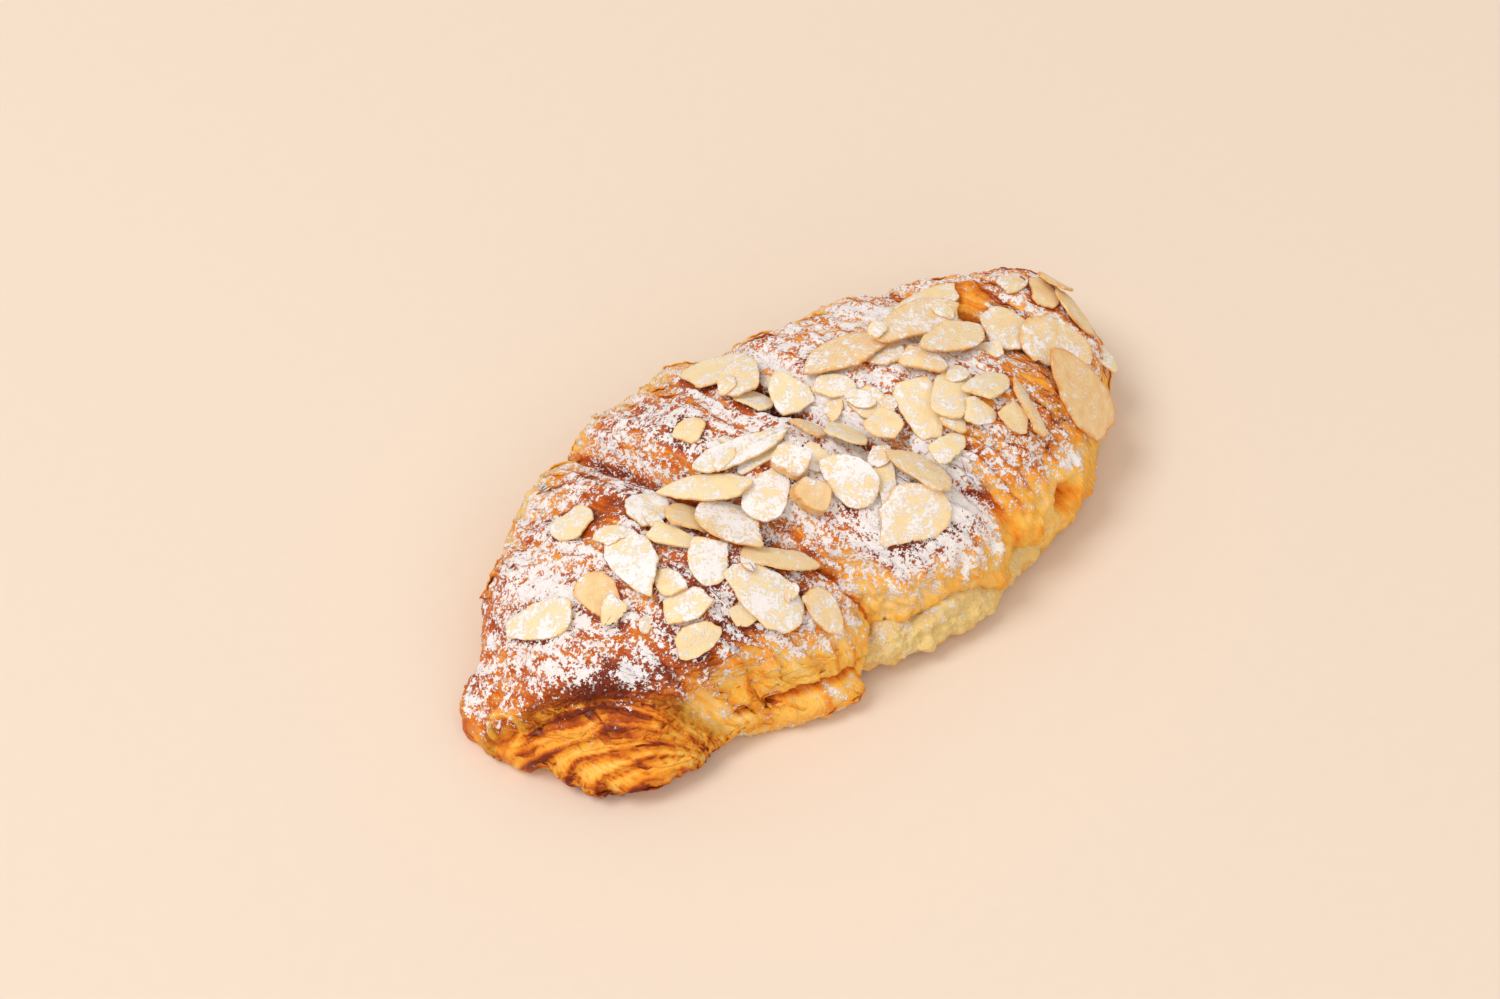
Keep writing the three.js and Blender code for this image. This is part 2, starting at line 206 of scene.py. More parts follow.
def grid_faces(rows, columns):
    """Four-sided faces of a grid whose columns close on themselves, as vertex numbers."""
    row, column = np.meshgrid(np.arange(rows - 1), np.arange(columns), indexing="ij")
    after = (column + 1) % columns
    corners = [
        row * columns + column,
        row * columns + after,
        (row + 1) * columns + after,
        (row + 1) * columns + column,
    ]
    return np.stack(corners, -1).reshape(-1, 4).tolist()


def cap_faces(ring, pole, flip=False):
    """Three-sided faces from a ring of vertex numbers to a pole."""
    pairs = zip(ring, [*ring[1:], ring[0]])
    return [(b, a, pole) if flip else (a, b, pole) for a, b in pairs]


def with_poles(values):
    """A grid of values as a list, ended by the averages of its first and last rows."""
    rows, columns = values.shape[:2]
    flat = values.reshape(rows, columns, -1)
    ends = np.stack([flat[0].mean(0), flat[-1].mean(0)])
    return np.concatenate([flat.reshape(rows * columns, -1), ends]).squeeze()


def make_piece(name, points, faces, material, slot, replaces=(), **attributes):
    """A smooth mesh from points in millimetres, which rides on the croissant."""
    mesh = bpy.data.meshes.new(name)
    mesh.from_pydata((np.asarray(points) * MM).tolist(), [], faces)
    mesh.polygons.foreach_set("use_smooth", [True] * len(mesh.polygons))
    for key, values in attributes.items():
        values = np.asarray(values, np.float32)
        kind, field = ("FLOAT", "value") if values.ndim == 1 else ("FLOAT_VECTOR", "vector")
        layer = mesh.attributes.new(key, kind, "POINT")
        layer.data.foreach_set(field, values.ravel())
    mesh.materials.append(material)
    mesh.validate()
    piece = bpy.data.objects.new(name, mesh)
    bpy.context.scene.collection.objects.link(piece)
    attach(piece, "root")
    if replaces:
        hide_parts(*replaces)


# ------------------------------------------------------------------------------ shader sums


class Link:
    """A shader socket that takes part in Python sums, each of which adds a Math node."""

    def __init__(self, maker, socket):
        self.maker = maker
        self.socket = socket

    def math(self, operation, other, swap=False):
        """A Math node on this socket and the other value, which comes first if swapped."""
        values = {0: other, 1: self} if swap else {0: self, 1: other}
        return self.maker.node("ShaderNodeMath", {"operation": operation}, values)

    def __add__(self, other):
        return self.math("ADD", other)

    def __sub__(self, other):
        return self.math("SUBTRACT", other)

    def __mul__(self, other):
        return self.math("MULTIPLY", other)

    def __rsub__(self, other):
        return self.math("SUBTRACT", other, swap=True)

    __radd__ = __add__
    __rmul__ = __mul__

    def ramp(self, low, high):
        """0 where this is below low, 1 above high, smooth between."""
        settings = {"interpolation_type": "SMOOTHSTEP"}
        sockets = {"Value": self, "From Min": low, "From Max": high}
        return self.maker.node("ShaderNodeMapRange", settings, sockets)


class Maker:
    """Builds one material's nodes."""

    def __init__(self, name):
        self.material = bpy.data.materials.new(name)
        self.material.use_nodes = True
        self.tree = self.material.node_tree
        self.tree.nodes.clear()

    def node(self, kind, settings=None, sockets=None, output=0):
        """Adds a node: its settings first, then the values or links of its sockets."""
        node = self.tree.nodes.new(kind)
        for key, value in (settings or {}).items():
            if key == "stops":
                self.set_stops(node.color_ramp, value)
            else:
                setattr(node, key, value)
        for key, value in (sockets or {}).items():
            if isinstance(value, Link):
                self.tree.links.new(value.socket, node.inputs[key])
            else:
                node.inputs[key].default_value = value
        return Link(self, node.outputs[output]) if node.outputs else node

    def set_stops(self, colour_ramp, stops):
        while len(colour_ramp.elements) < len(stops):
            colour_ramp.elements.new(1)
        for element, (place, shade) in zip(colour_ramp.elements, stops):
            element.position = place
            element.color = (*shade, 1)

    def attribute(self, name, output="Fac"):
        return self.node("ShaderNodeAttribute", {"attribute_name": name}, output=output)

    def place(self):
        """The point on the piece, in millimetres."""
        where = self.node("ShaderNodeTexCoord", output="Object")
        return self.stretched(where, (1 / MM,) * 3)

    def stretched(self, vector, factors):
        settings = {"operation": "MULTIPLY"}
        return self.node("ShaderNodeVectorMath", settings, {0: vector, 1: factors})

    def noise(self, vector, size, detail, roughness):
        """Noise from -1 to 1 with features of about this size, in the vector's own units."""
        sockets = {"Vector": vector, "Scale": 1 / size, "Detail": detail, "Roughness": roughness}
        return self.node("ShaderNodeTexNoise", None, sockets) * 2 - 1

    def blend(self, first, second, share):
        """Mixes two colours, each a colour or a link."""
        first, second = (c if isinstance(c, Link) else (*c, 1) for c in (first, second))
        settings = {"data_type": "RGBA"}
        return self.node("ShaderNodeMix", settings, {0: share, 6: first, 7: second}, output=2)

    def finish(self, constants, height=None, depth=0.0, **links):
        """Ends in a Principled shader, with a bump whose full height is depth millimetres."""
        sockets = dict(constants)
        names = {key: key.replace("_", " ").title() for key in links}
        sockets.update({names[key]: value for key, value in links.items()})
        if height is not None:
            bump = {"Height": height, "Distance": depth * MM, "Strength": 1.0}
            sockets["Normal"] = self.node("ShaderNodeBump", None, bump)
        shader = self.node("ShaderNodeBsdfPrincipled", None, sockets)
        self.node("ShaderNodeOutputMaterial", None, {"Surface": shader})
        return self.material


def sugared(maker, base, colours, haze):
    """Icing sugar over a base colour: the colour, the sugar's share and its fine relief.

    Between the white specks lies a film of sugar, as strong as the haze says.
    """
    place = maker.place()
    clump = maker.noise(place, 1.8, 3, 0.6)
    speckle = maker.noise(place, 0.6, 2, 0.6)
    grain = maker.noise(place, 0.26, 2, 0.6)
    amount = maker.attribute("sugar") + clump * 0.85 + speckle * 0.9 + grain * 0.35
    share = amount.ramp(0.42, 0.56)
    film = amount.ramp(0.15, 0.60) * haze
    shade = maker.blend(base, colours.sugar, film)
    return maker.blend(shade, colours.sugar, share), share, grain


def crust_material(colours):
    """Laminated crust: a tone from crumb to dark brown, streaked along its layers, and sugared."""
    maker = Maker("baked_crust")
    place = maker.place()
    layers = maker.attribute("layers", "Vector")
    streak = maker.noise(maker.stretched(layers, (1, 0.14, 0.14)), 0.7, 4, 0.65)
    blotch = maker.noise(place, 3.5, 3, 0.6)
    pores = maker.noise(place, 0.5, 3, 0.65)
    # The tone holds how far the crust is baked, darkened further by painted shade in the hollows,
    # seams, slit, pits and next to the flakes.
    baked = maker.attribute("tone")
    tone = baked + streak * 0.33 + blotch * 0.18 + pores * 0.10
    shades = (colours.pale, colours.golden, colours.orange, colours.brown, colours.dark)
    stops = [(step / (len(shades) - 1), shade) for step, shade in enumerate(shades)]
    crust = maker.node("ShaderNodeValToRGB", {"stops": stops}, {"Fac": tone})

    # The thin film of sugar hardly shows on brown crust, whose glaze takes it up.
    veil = 0.18 - baked.ramp(0.40, 0.68) * 0.16
    shade, share, grain = sugared(maker, crust, colours, veil)
    bare = 1 - share
    relief = streak * 0.6 * bare + pores * 0.6 + grain * share * 0.8 + share * 0.5
    return maker.finish(
        {
            "Subsurface Weight": 0.12,
            "Subsurface Radius": (1.0, 0.45, 0.15),
            "Subsurface Scale": 1.2 * MM,
            "Specular IOR Level": 0.12,
            "Coat Roughness": 0.12,
        },
        height=relief,
        depth=0.22,
        base_color=shade,
        roughness=0.46 + blotch * 0.06 + share * 0.46,
        coat_weight=bare * baked.ramp(0.45, 0.9) * 0.22,
    )


def almond_material(colours):
    """A slice of almond: ivory, toasted at its rim and in blisters, and sugared."""
    maker = Maker("almond_flake")
    place = maker.place()
    blister = maker.noise(place, 2.2, 3, 0.6)
    pores = maker.noise(place, 0.35, 2, 0.6)
    rim = maker.attribute("rim") * (0.3 + blister * 0.4)
    toast = maker.attribute("toast") + blister * 0.28 + pores * 0.06 + rim
    inside = maker.blend(colours.almond, colours.toasted, toast.ramp(0.05, 1.0))
    shade, share, grain = sugared(maker, inside, colours, 0.45)
    return maker.finish(
        {
            "Subsurface Weight": 0.18,
            "Subsurface Radius": (1.0, 0.6, 0.3),
            "Subsurface Scale": 1.2 * MM,
            "Specular IOR Level": 0.4,
        },
        height=pores * 0.35 + blister * 0.25 + grain * share * 0.8 + share * 0.5,
        depth=0.16,
        base_color=shade,
        roughness=0.5 + share * 0.42,
    )


def cream_material(colours):
    """Baked almond cream: pale and crumbly, golden where it met the tray."""
    maker = Maker("almond_cream")
    place = maker.place()
    crumbs = maker.noise(place, 1.1, 4, 0.7)
    pores = maker.noise(place, 0.4, 3, 0.65)
    browned = maker.attribute("browned") + crumbs * 0.35 + pores * 0.25
    inside = maker.blend(colours.cream, colours.cream_edge, browned.ramp(0.1, 0.9))
    shade, share, grain = sugared(maker, inside, colours, 0.08)
    return maker.finish(
        {
            "Subsurface Weight": 0.15,
            "Subsurface Radius": (1.0, 0.7, 0.35),
            "Subsurface Scale": 1.5 * MM,
            "Specular IOR Level": 0.35,
        },
        height=crumbs * 0.8 + pores * 0.7 + grain * share * 0.4 + share * 0.2,
        depth=0.4,
        base_color=shade,
        roughness=0.6 + share * 0.35,
    )


def table_material(colours):
    """A smooth painted board, very slightly mottled."""
    maker = Maker("table")
    place = maker.place()
    mottle = maker.noise(place, 4.0, 3, 0.6) * 0.5 + 0.5
    darker = tuple(c * 0.97 for c in colours.table)
    shade = maker.blend(colours.table, darker, mottle)
    return maker.finish({"Specular IOR Level": 0.2, "Roughness": 0.8}, base_color=shade)


# ------------------------------------------------------------------------------ where things are

# The seams between the roll's turns: each runs along x = at + lean (y - y0) + bow (y - y0)^2.
SEAMS = [
    {"at": -27, "y0": 3.2, "lean": -0.27, "bow": 0.0045},
    {"at": 5, "y0": 0.9, "lean": -0.20, "bow": 0.0080},
    {"at": 52, "y0": -2.0, "lean": -0.30, "bow": 0.0040},
]

# The low turn at the tip lies outside this slanting line.
TIP_LINE = {"at": -79, "y0": -4, "lean": -1.14}

# Its folds fan out round this point: the first one's bearing, and millimetres for each degree.
TIP_FAN = {"x": -49, "y": -35, "start": 122, "spread": 0.40}

# The roll's end shows as a small spiral on the tip.
SPIRAL = {"x": -78, "y": -3, "z": 8, "step": 3.2, "radius": 5.5}


def past_seam(points, seam):
    """How far each point lies past a seam, towards the blunt end."""
    aside = points[..., 1] - seam["y0"]
    return points[..., 0] - (seam["at"] + seam["lean"] * aside + seam["bow"] * aside**2)


def past_tip_line(points):
    """How far each point lies outside the tip's line, over the low turn."""
    aside = points[..., 1] - TIP_LINE["y0"]
    outside = TIP_LINE["at"] + TIP_LINE["lean"] * aside - points[..., 0]
    return outside / math.hypot(1, TIP_LINE["lean"])


def fan_over_tip(points):
    """Millimetres across the low turn's folds, which fan out from the near side to the tip."""
    turn = np.arctan2(points[..., 1] - TIP_FAN["y"], points[..., 0] - TIP_FAN["x"])
    return (np.degrees(turn) % 360 - TIP_FAN["start"]) * TIP_FAN["spread"]


def spot(points, x, y, z, radius):
    """1 at a place on the surface, falling to 0 past the radius."""
    away = np.linalg.norm(points - np.array([x, y, z], float), axis=-1)
    return np.exp(-((away / radius) ** 2))


# ------------------------------------------------------------------------------ pastry

RINGS = 296  # along the straight middle
CAP_RINGS = 70  # round each end
AROUND = 200  # over the top and sides
UNDER = 26  # across the flat underside
CORE_HALF = 62.0  # the straight middle runs from -CORE_HALF to CORE_HALF
CORE_HEIGHT = 9.0
CORE_REACH = 130.0  # further from the core than any part of the croissant
RING_LEAN = -0.25  # the rings lean with the seams
SIDE_DIP = 20  # the close angles reach this far below level, in degrees
ALONG_BLUR, AROUND_BLUR = 2.6, 2.0  # how far the plain solid's edges are rounded, in rings and rays
FLAKE_GAP = 0.12  # between the crust and a flake that lies on it


def ring_angles():
    """Angles round a ring: close together over the top and sides, wide apart underneath."""
    over = np.linspace(-SIDE_DIP, 180 + SIDE_DIP, AROUND, endpoint=False)
    under = np.linspace(180 + SIDE_DIP, 360 - SIDE_DIP, UNDER, endpoint=False)
    return np.radians(np.concatenate([over, under]))


def pastry_rays():
    """Start and heading of each ray, from the core outwards: one row to a ring, tip first."""
    angles = ring_angles()
    along = np.linspace(-CORE_HALF, CORE_HALF, RINGS)
    swing = np.linspace(0, math.pi / 2, CAP_RINGS + 1, endpoint=False)[1:]
    stations = [(-CORE_HALF, -turn) for turn in swing[::-1]]
    stations += [(x, 0.0) for x in along]
    stations += [(CORE_HALF, turn) for turn in swing]
    starts, headings = [], []
    for x, turn in stations:
        lean = RING_LEAN * math.sqrt(1 - (x / CAD_HIGH.x * MM) ** 2)
        flat = np.stack([lean * np.cos(angles), np.cos(angles), np.sin(angles)], -1)
        heading = flat * math.cos(turn) + np.array([math.sin(turn), 0, 0])
        headings.append(heading / np.linalg.norm(heading, axis=1, keepdims=True))
        starts.append(np.tile([x, 0, CORE_HEIGHT], (len(angles), 1)))
    return np.array(starts), np.array(headings)


def rays_to_surface(tree, starts, headings):
    """Distance from each start to the outermost surface along its heading."""
    reach = np.empty(starts.shape[:2])
    for row, column in np.ndindex(reach.shape):
        start = Vector(starts[row, column])
        heading = Vector(headings[row, column])
        _, _, _, depth = tree.ray_cast(start + heading * CORE_REACH, -heading)
        reach[row, column] = CORE_REACH - depth
    return reach


def clearances(tree, points):
    """Distance from each point to the nearest place on the tree's shapes."""
    found = [tree.find_nearest(point)[3] for point in points.reshape(-1, 3)]
    return np.reshape(found, points.shape[:-1])


def grid_normals(points):
    """Outward normals of a grid whose columns close on themselves."""
    along = np.gradient(points, axis=0)
    around = np.roll(points, -1, 1) - np.roll(points, 1, 1)
    normals = np.cross(around, along)
    return normals / np.maximum(np.linalg.norm(normals, axis=-1, keepdims=True), 1e-9)


def layer_coordinates(points, noise):
    """Millimetres across the dough's layers and along them, and how far the low turn's folds hold."""
    aside = points[..., 1]
    across = points[..., 0] + 0.25 * aside - 0.005 * aside**2
    across = across + 2.0 * noise.at(points, 12) + 0.7 * noise.at(points, 4.2)
    fan = fan_over_tip(points) + 0.7 * noise.at(points + 50, 8) + 0.3 * noise.at(points, 3)
    low_turn = ramp(-1.5, 1.5, past_tip_line(points)) * ramp(-40, -50, points[..., 0])
    along = np.hypot(points[..., 1], points[..., 2] * 1.3) * np.sign(aside)
    slant = (points[..., 0] - points[..., 1]) / 1.4
    return mix(across, fan, low_turn), mix(along, slant, low_turn), low_turn


def spiral_relief(points):
    """The rolled end's spiral: ridges and grooves from -1 to 1, and how far it holds."""
    away = points - np.array([SPIRAL["x"], SPIRAL["y"], SPIRAL["z"]], float)
    reach = np.linalg.norm(away, axis=-1)
    turn = np.arctan2(away[..., 2], away[..., 1])
    ridges = np.cos(2 * math.pi * reach / SPIRAL["step"] - turn)
    return ridges, np.exp(-((reach / SPIRAL["radius"]) ** 4))


# Marks of the baking and the dusting, with painted shade in the pits and the bubble's hole: where each
# one lies, how wide it is, and what it adds to the height (in millimetres), to the tone and to the
# sugar.
Mark = namedtuple("Mark", "x y z radius height tone sugar")
MARKS = [
    # The dark glazed patch above the tip's folds, and the clumps of sugar on it.
    Mark(-66, -14, 21, 5.5, 0.0, 0.34, -0.18),
    Mark(-70, -9, 20, 4.0, 0.0, 0.20, -0.10),
    Mark(-61, -19, 20, 5.5, 0.0, 0.30, -0.16),
    Mark(-55, -22, 20, 5.0, 0.0, 0.22, -0.14),
    Mark(-60, -17, 23, 2.2, 0.3, 0.0, 0.60),
    Mark(-65, -12, 23, 2.4, 0.2, 0.0, 0.40),
    Mark(-62, -20, 18, 1.4, 0.2, 0.0, 0.60),
    # The torn tab's end.
    Mark(-17, -40, 3, 4.5, 2.2, 0.15, 0.0),
    # The burnt edge of the tip's lowest fold, the tip's burnt rim and the notch between its lobes.
    Mark(-72, -21, 0, 5.0, 0.0, 0.35, -0.2),
    Mark(-81, 6, 2, 4.5, 1.2, 0.60, -0.30),
    Mark(-77, -13, 3, 3.5, -2.4, 0.0, 0.0),
    # Sugar just past the roll's end, which is itself bare.
    Mark(-80, 4, 6, 4.0, 0.0, 0.0, 0.05),
    Mark(-78, -3, 9, 5.0, 0.0, 0.0, -0.34),
    # Thick sugar over the tip's turn, with a bare hollow past it.
    Mark(-62, 5, 27, 12.0, 0.0, 0.0, 0.22),
    Mark(-40, 12, 32, 4.5, -1.3, 0.05, -0.55),
    # The brown top of the next turn, on the far side.
    Mark(-30, 20, 32, 12.0, 0.0, 0.04, 0.06),
    Mark(-24, 28, 28, 12.0, 0.0, 0.16, 0.03),
    # A pit between two turns, a smaller pit and a bare orange hollow; the pits' darker tone is painted
    # shade.
    Mark(3, 8, 31, 4.5, -1.8, 0.34, -0.40),
    Mark(15, -13, 33, 3.6, -1.8, 0.10, -0.40),
    Mark(54, 8, 28, 5.5, -0.6, -0.12, -0.60),
    # The middle of the flakes' heap and what lies round it, thick with sugar.
    Mark(5, -5, 34, 15.0, 0.0, 0.0, 0.36),
    Mark(20, -22, 31, 13.0, 0.0, -0.06, 0.18),
    Mark(36, 8, 32, 14.0, 0.0, -0.04, 0.20),
    # A clump of sugar above the burst bubble, the bubble's hole, whose darker tone is painted shade,
    # and its swollen wall.
    Mark(46, -33.5, 18, 3.2, 0.3, 0.0, 0.60),
    Mark(39.6, -37, 15, 2.4, -8.0, 0.40, -0.60),
    Mark(40.0, -36, 14.5, 3.0, 0.0, 0.50, -0.30),
    Mark(39.6, -37, 14.5, 6.5, 2.2, -0.20, 0.2),
    # A golden lump, and the browned bottom edge.
    Mark(27, -38, 16, 5.0, 2.4, 0.04, -0.50),
    Mark(44, -37, 9, 6.0, 0.8, 0.28, -0.20),
    Mark(24, -40, 6, 5.0, 0.6, 0.20, -0.10),
    # The valley between two turns, above the cream.
    Mark(-9, -29, 24, 4.0, -1.5, -0.20, 0.05),
    Mark(-8, -34, 16, 4.0, -0.8, -0.20, -0.05),
]


class Dough:
    """The dough's surface: what lies at each point, and the height, tone and sugar that come of it."""

    def __init__(self, points, normals, noise):
        self.points = points
        self.x, self.y, self.z = np.moveaxis(points, -1, 0)
        self.facing_up = normals[..., 2]
        self.noise = noise
        across, along, self.low_turn = layer_coordinates(points, noise)
        self.high = 1 - self.low_turn
        self.layers = np.stack([across, along, self.z], -1)
        self.ridges, self.spiral = spiral_relief(points)

        # Shingled layers, wide apart and fine.
        self.coarse = fold(across / mix(4.3, 2.7, self.low_turn))
        self.fine = fold(across / mix(1.45, 0.9, self.low_turn) + 0.3)

        # Unevenness of all sizes, and two kinds that follow the layers.
        self.patchy = noise.at(points + 90, 7)
        self.wide = noise.at(points, 13)
        self.middling = noise.at(points, 5)
        self.small = noise.at(points, 2.0)
        self.crinkles = noise.at(points, 1.25)
        self.along_layers = self.layers * (1, 0.14, 0.14)
        self.streaks = noise.at(self.along_layers, 1.5)
        self.wrinkles = 1 - 2 * np.abs(noise.at(self.layers * (1, 0.35, 0.35), 2.4))

        self.find_parts()
        self.cut_seams()

    def find_parts(self):
        """The parts of the crust that look different, each as a share from 0 to 1."""
        x, y, z = self.x, self.y, self.z
        self.near_side = ramp(-14, -26, y) * ramp(2, 6, z)
        self.far_side = ramp(20, 32, y)
        self.bottom_edge = ramp(9, 2, z)

        # The crumbly crust just over the cream, and the smoother side towards the blunt end.
        past_first = past_seam(self.points, SEAMS[0])
        over_cream = ramp(-14, -6, past_first + 0.5 * y + 14) * ramp(-24, -32, y)
        self.over_cream = over_cream * ramp(-14, -6, x) * ramp(25, 17, z)
        self.calm = self.near_side * ramp(14, 24, x) * ramp(26, 20, z)

        # The layered slope on the near side, between the flakes and the smoother side below.
        self.leafy = ramp(18, 26, x) * ramp(58, 50, x) * ramp(-14, -20, y) * ramp(10, 15, z)

        # The slit above the torn tab of lower crust.
        slit = np.exp(-(((z - 9.5 - 0.6 * self.middling) / 0.7) ** 2))
        self.slit = slit * ramp(-46, -42, x) * ramp(-14, -18, x) * ramp(-24, -28, y)

    def cut_seams(self):
        """Past each seam the layers' edges show as narrow terraces, and the seam itself as a groove,
        whose band also darkens the tone as painted shade.
        """
        self.seam_height, self.seam_shade, self.terraces = np.zeros((3, *self.z.shape))
        for seam in SEAMS:
            away = past_seam(self.points, seam) + 0.9 * self.middling + 0.35 * self.small
            lip = ramp(-1.2, 0.4, away) * ramp(8.5, 4.0, away) * ramp(5, 12, self.z)
            groove = np.exp(-((away / 0.9) ** 2)) * ramp(8, 14, self.z)
            self.seam_height += 0.95 * lip * (fold(away / 1.5) - 0.35) - 1.2 * groove
            self.seam_shade = np.maximum(self.seam_shade, np.exp(-((away / 1.4) ** 2)))
            self.terraces = np.maximum(self.terraces, lip)

    def layer_height(self, sizes):
        """The shingled layers, strongest on the near side, and the folds of the low turn."""
        near_side, patchy, z = self.near_side, self.patchy, self.z
        strength = 0.35 + 0.95 * near_side + 0.35 * self.far_side + 0.5 * self.leafy
        strength = strength * (0.65 + 0.6 * patchy) * (1 - 0.6 * self.over_cream) * ramp(1, 5, z)
        strength = strength * (1 - 0.6 * near_side * ramp(11, 8, z)) * (1 - 0.8 * self.calm)
        coarse, fine = self.coarse - 0.5, self.fine - 0.5
        shingles = strength * (1.25 * coarse + 0.42 * fine) * self.high
        folds = ((0.95 + 0.4 * patchy) * coarse + 0.3 * fine) * self.low_turn * ramp(0.5, 3, z)
        return (sizes.layer_step * shingles + sizes.tip_fold * folds) / MM

    def height(self, sizes):
        """How far the dough stands out from the plain solid, in millimetres."""
        z, middling, small, crinkles = self.z, self.middling, self.small, self.crinkles
        lumps = 1.1 * self.wide + 0.75 * middling + 0.5 * small + 0.35 * crinkles
        lumps = lumps + (0.45 * self.wrinkles + 0.3 * self.streaks) * self.high
        height = self.layer_height(sizes) + self.seam_height + sizes.lump / MM * lumps
        height = height * (1 - 0.45 * self.calm)
        height = height + self.over_cream * (1.0 * middling + 0.8 * small + 0.45 * crinkles)
        ragged_rim = 0.9 * self.noise.at(self.points, 3.2) + 0.5 * crinkles
        height = height + ramp(4.5, 0.5, z) * ragged_rim
        height = mix(height, 1.2 + 0.9 * self.ridges, self.spiral)
        return height - 1.8 * self.slit

    def tone(self, height):
        """How far it is baked, with painted shade in the hollows, seams and slit: 0 pale crumb, 0.25
        golden, 0.5 orange, 0.75 brown, 1 dark.
        """
        x, z, near_side, coarse = self.x, self.z, self.near_side, self.coarse
        patchy, middling, streaks = self.patchy, self.middling, self.streaks

        # The top is brown at the tip and lighter towards the blunt end; the sides are golden.
        tone = 0.70 - 0.16 * ramp(0, 40, x) + 0.10 * self.wide + 0.14 * patchy
        tone = mix(tone, 0.20 + 0.12 * patchy, near_side * ramp(28, 16, z))
        tone = tone + 0.18 * near_side * ramp(-12, -2, x) * ramp(14, 22, z)
        tone = mix(tone, 0.40 + 0.12 * patchy, 0.7 * self.leafy)
        tone = mix(tone, 0.27 + 0.14 * ramp(12, 22, z) + 0.12 * middling, 0.8 * self.calm)
        tone = mix(tone, 0.26 + 0.14 * patchy + 0.10 * streaks, self.far_side * ramp(31, 20, z))
        tone = mix(tone, 0.25 + 0.08 * middling, self.bottom_edge)
        tone = tone + (0.18 * near_side * ramp(0.5, 1.0, coarse) + 0.18 * streaks) * self.high

        # The low turn's folds are dark along their edges.
        dark_edges = ramp(0.6, 0.95, coarse) * (0.9 + 0.8 * patchy) + 0.5 * ramp(0.6, 0.95, self.fine)
        tone = mix(tone, 0.37 + 0.52 * dark_edges, self.low_turn)
        tone = tone + 0.45 * streaks * self.low_turn

        tone = mix(tone, 0.36 + 0.34 * ramp(0.4, 1, self.terraces * coarse), 0.6 * self.terraces)
        tone = mix(tone, 0.22 + 0.14 * middling + 0.12 * self.small, 0.9 * self.over_cream)
        tone = mix(tone, 0.46 - 0.26 * self.ridges, self.spiral)
        # Along the seams' grooves and in the slit above the torn tab the tone darkens as painted shade.
        tone = tone + 0.22 * self.seam_shade * ramp(8, 16, z) + 0.35 * self.slit
        # Where the dough sinks below the plain solid its tone darkens: painted shade in the hollows.
        return tone + 0.20 * ramp(-0.2, -1.6, height) * (1 - self.over_cream)

    def sugar(self):
        """How thickly the icing sugar lies: on what faces up, and thick on the crests."""
        x, z, near_side, points = self.x, self.z, self.near_side, self.points
        sugar = 0.20 + 0.27 * ramp(0.1, 0.8, self.facing_up)
        sugar = sugar * (1 - 0.6 * self.low_turn) * ramp(0, 4, z)
        sugar = sugar - 0.30 * near_side * ramp(21, 12, z) - 0.05 * self.far_side
        sugar = sugar - 0.16 * self.low_turn - 0.32 * self.leafy - 0.3 * self.seam_shade
        sugar = sugar + 0.22 * near_side * ramp(-10, -2, x) * ramp(50, 40, x) * ramp(12, 18, z)
        sugar = sugar + 0.15 * self.noise.at(points + 30, 6) + 0.20 * self.noise.at(points + 70, 2.8)
        sugar = sugar + 0.22 * self.noise.at(self.along_layers + 9, 1.6) + 0.12 * self.wrinkles
        return sugar + 0.1 * spot(points, SPIRAL["x"], SPIRAL["y"], SPIRAL["z"], 1.8)


def finished_dough(points, normals, sizes, noise):
    """The dough's height, tone and sugar at each point, with the marks, and its layers."""
    dough = Dough(points, normals, noise)
    height = dough.height(sizes)
    tone = dough.tone(height)
    sugar = dough.sugar()
    for mark in MARKS:
        share = spot(points, mark.x, mark.y, mark.z, mark.radius)
        height = height + mark.height * share
        tone = tone + mark.tone * share
        sugar = sugar + mark.sugar * share
    return height, tone, sugar, dough.layers


def build_pastry(sizes, colours, flakes_tree, cream_tree):
    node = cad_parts["pastry"]
    noise = Noise(SEEDS["pastry"])
    starts, headings = pastry_rays()
    reach = rays_to_surface(tree_of([node]), starts, headings)
    reach = blur(reach, ALONG_BLUR, 0, wrap=False)
    reach = blur(reach, AROUND_BLUR, 1, wrap=True)
    points = starts + headings * reach[..., None]
    normals = grid_normals(points)
    height, tone, sugar, layers = finished_dough(points, normals, sizes, noise)
    clumps = ramp(0.5, 0.9, sugar) * sizes.sugar_depth / MM
    height = height + clumps * (0.7 + 0.6 * noise.at(points, 1.2))

    # The dough swells over the edge of the cream.
    height = height + 0.9 * ramp(3.2, 0.6, clearances(cream_tree, points))

    # The crust stays below the flakes, with less sugar there, and its tone darkens close to them as
    # painted shade.
    clearance = clearances(flakes_tree, points)
    height = np.minimum(height, clearance - FLAKE_GAP)
    sugar = sugar - 0.25 * ramp(1.3, 0.4, clearance)
    tone = tone + 0.26 * ramp(2.2, 0.4, clearance)

    height = height * ramp(0.0, 0.8, points[..., 2])
    points = points + normals * height[..., None]
    points[..., 2] = np.maximum(points[..., 2], 0.0)
    rows, columns = tone.shape
    first_pole, last_pole = rows * columns, rows * columns + 1
    faces = grid_faces(rows, columns)
    faces += cap_faces(range(columns), first_pole, flip=True)
    faces += cap_faces(range((rows - 1) * columns, rows * columns), last_pole)
    make_piece(
        "pastry_crust",
        with_poles(points),
        faces,
        crust_material(colours),
        "baked_crust",
        ["pastry"],
        tone=with_poles(tone),
        sugar=with_poles(sugar),
        layers=with_poles(layers),
    )


# ------------------------------------------------------------------------------ almond cream

CREAM_SQUARE = 0.5  # size of the cream's mesh squares
CREAM_SOFTENING = 6  # rounds of smoothing, so that the squares leave no steps


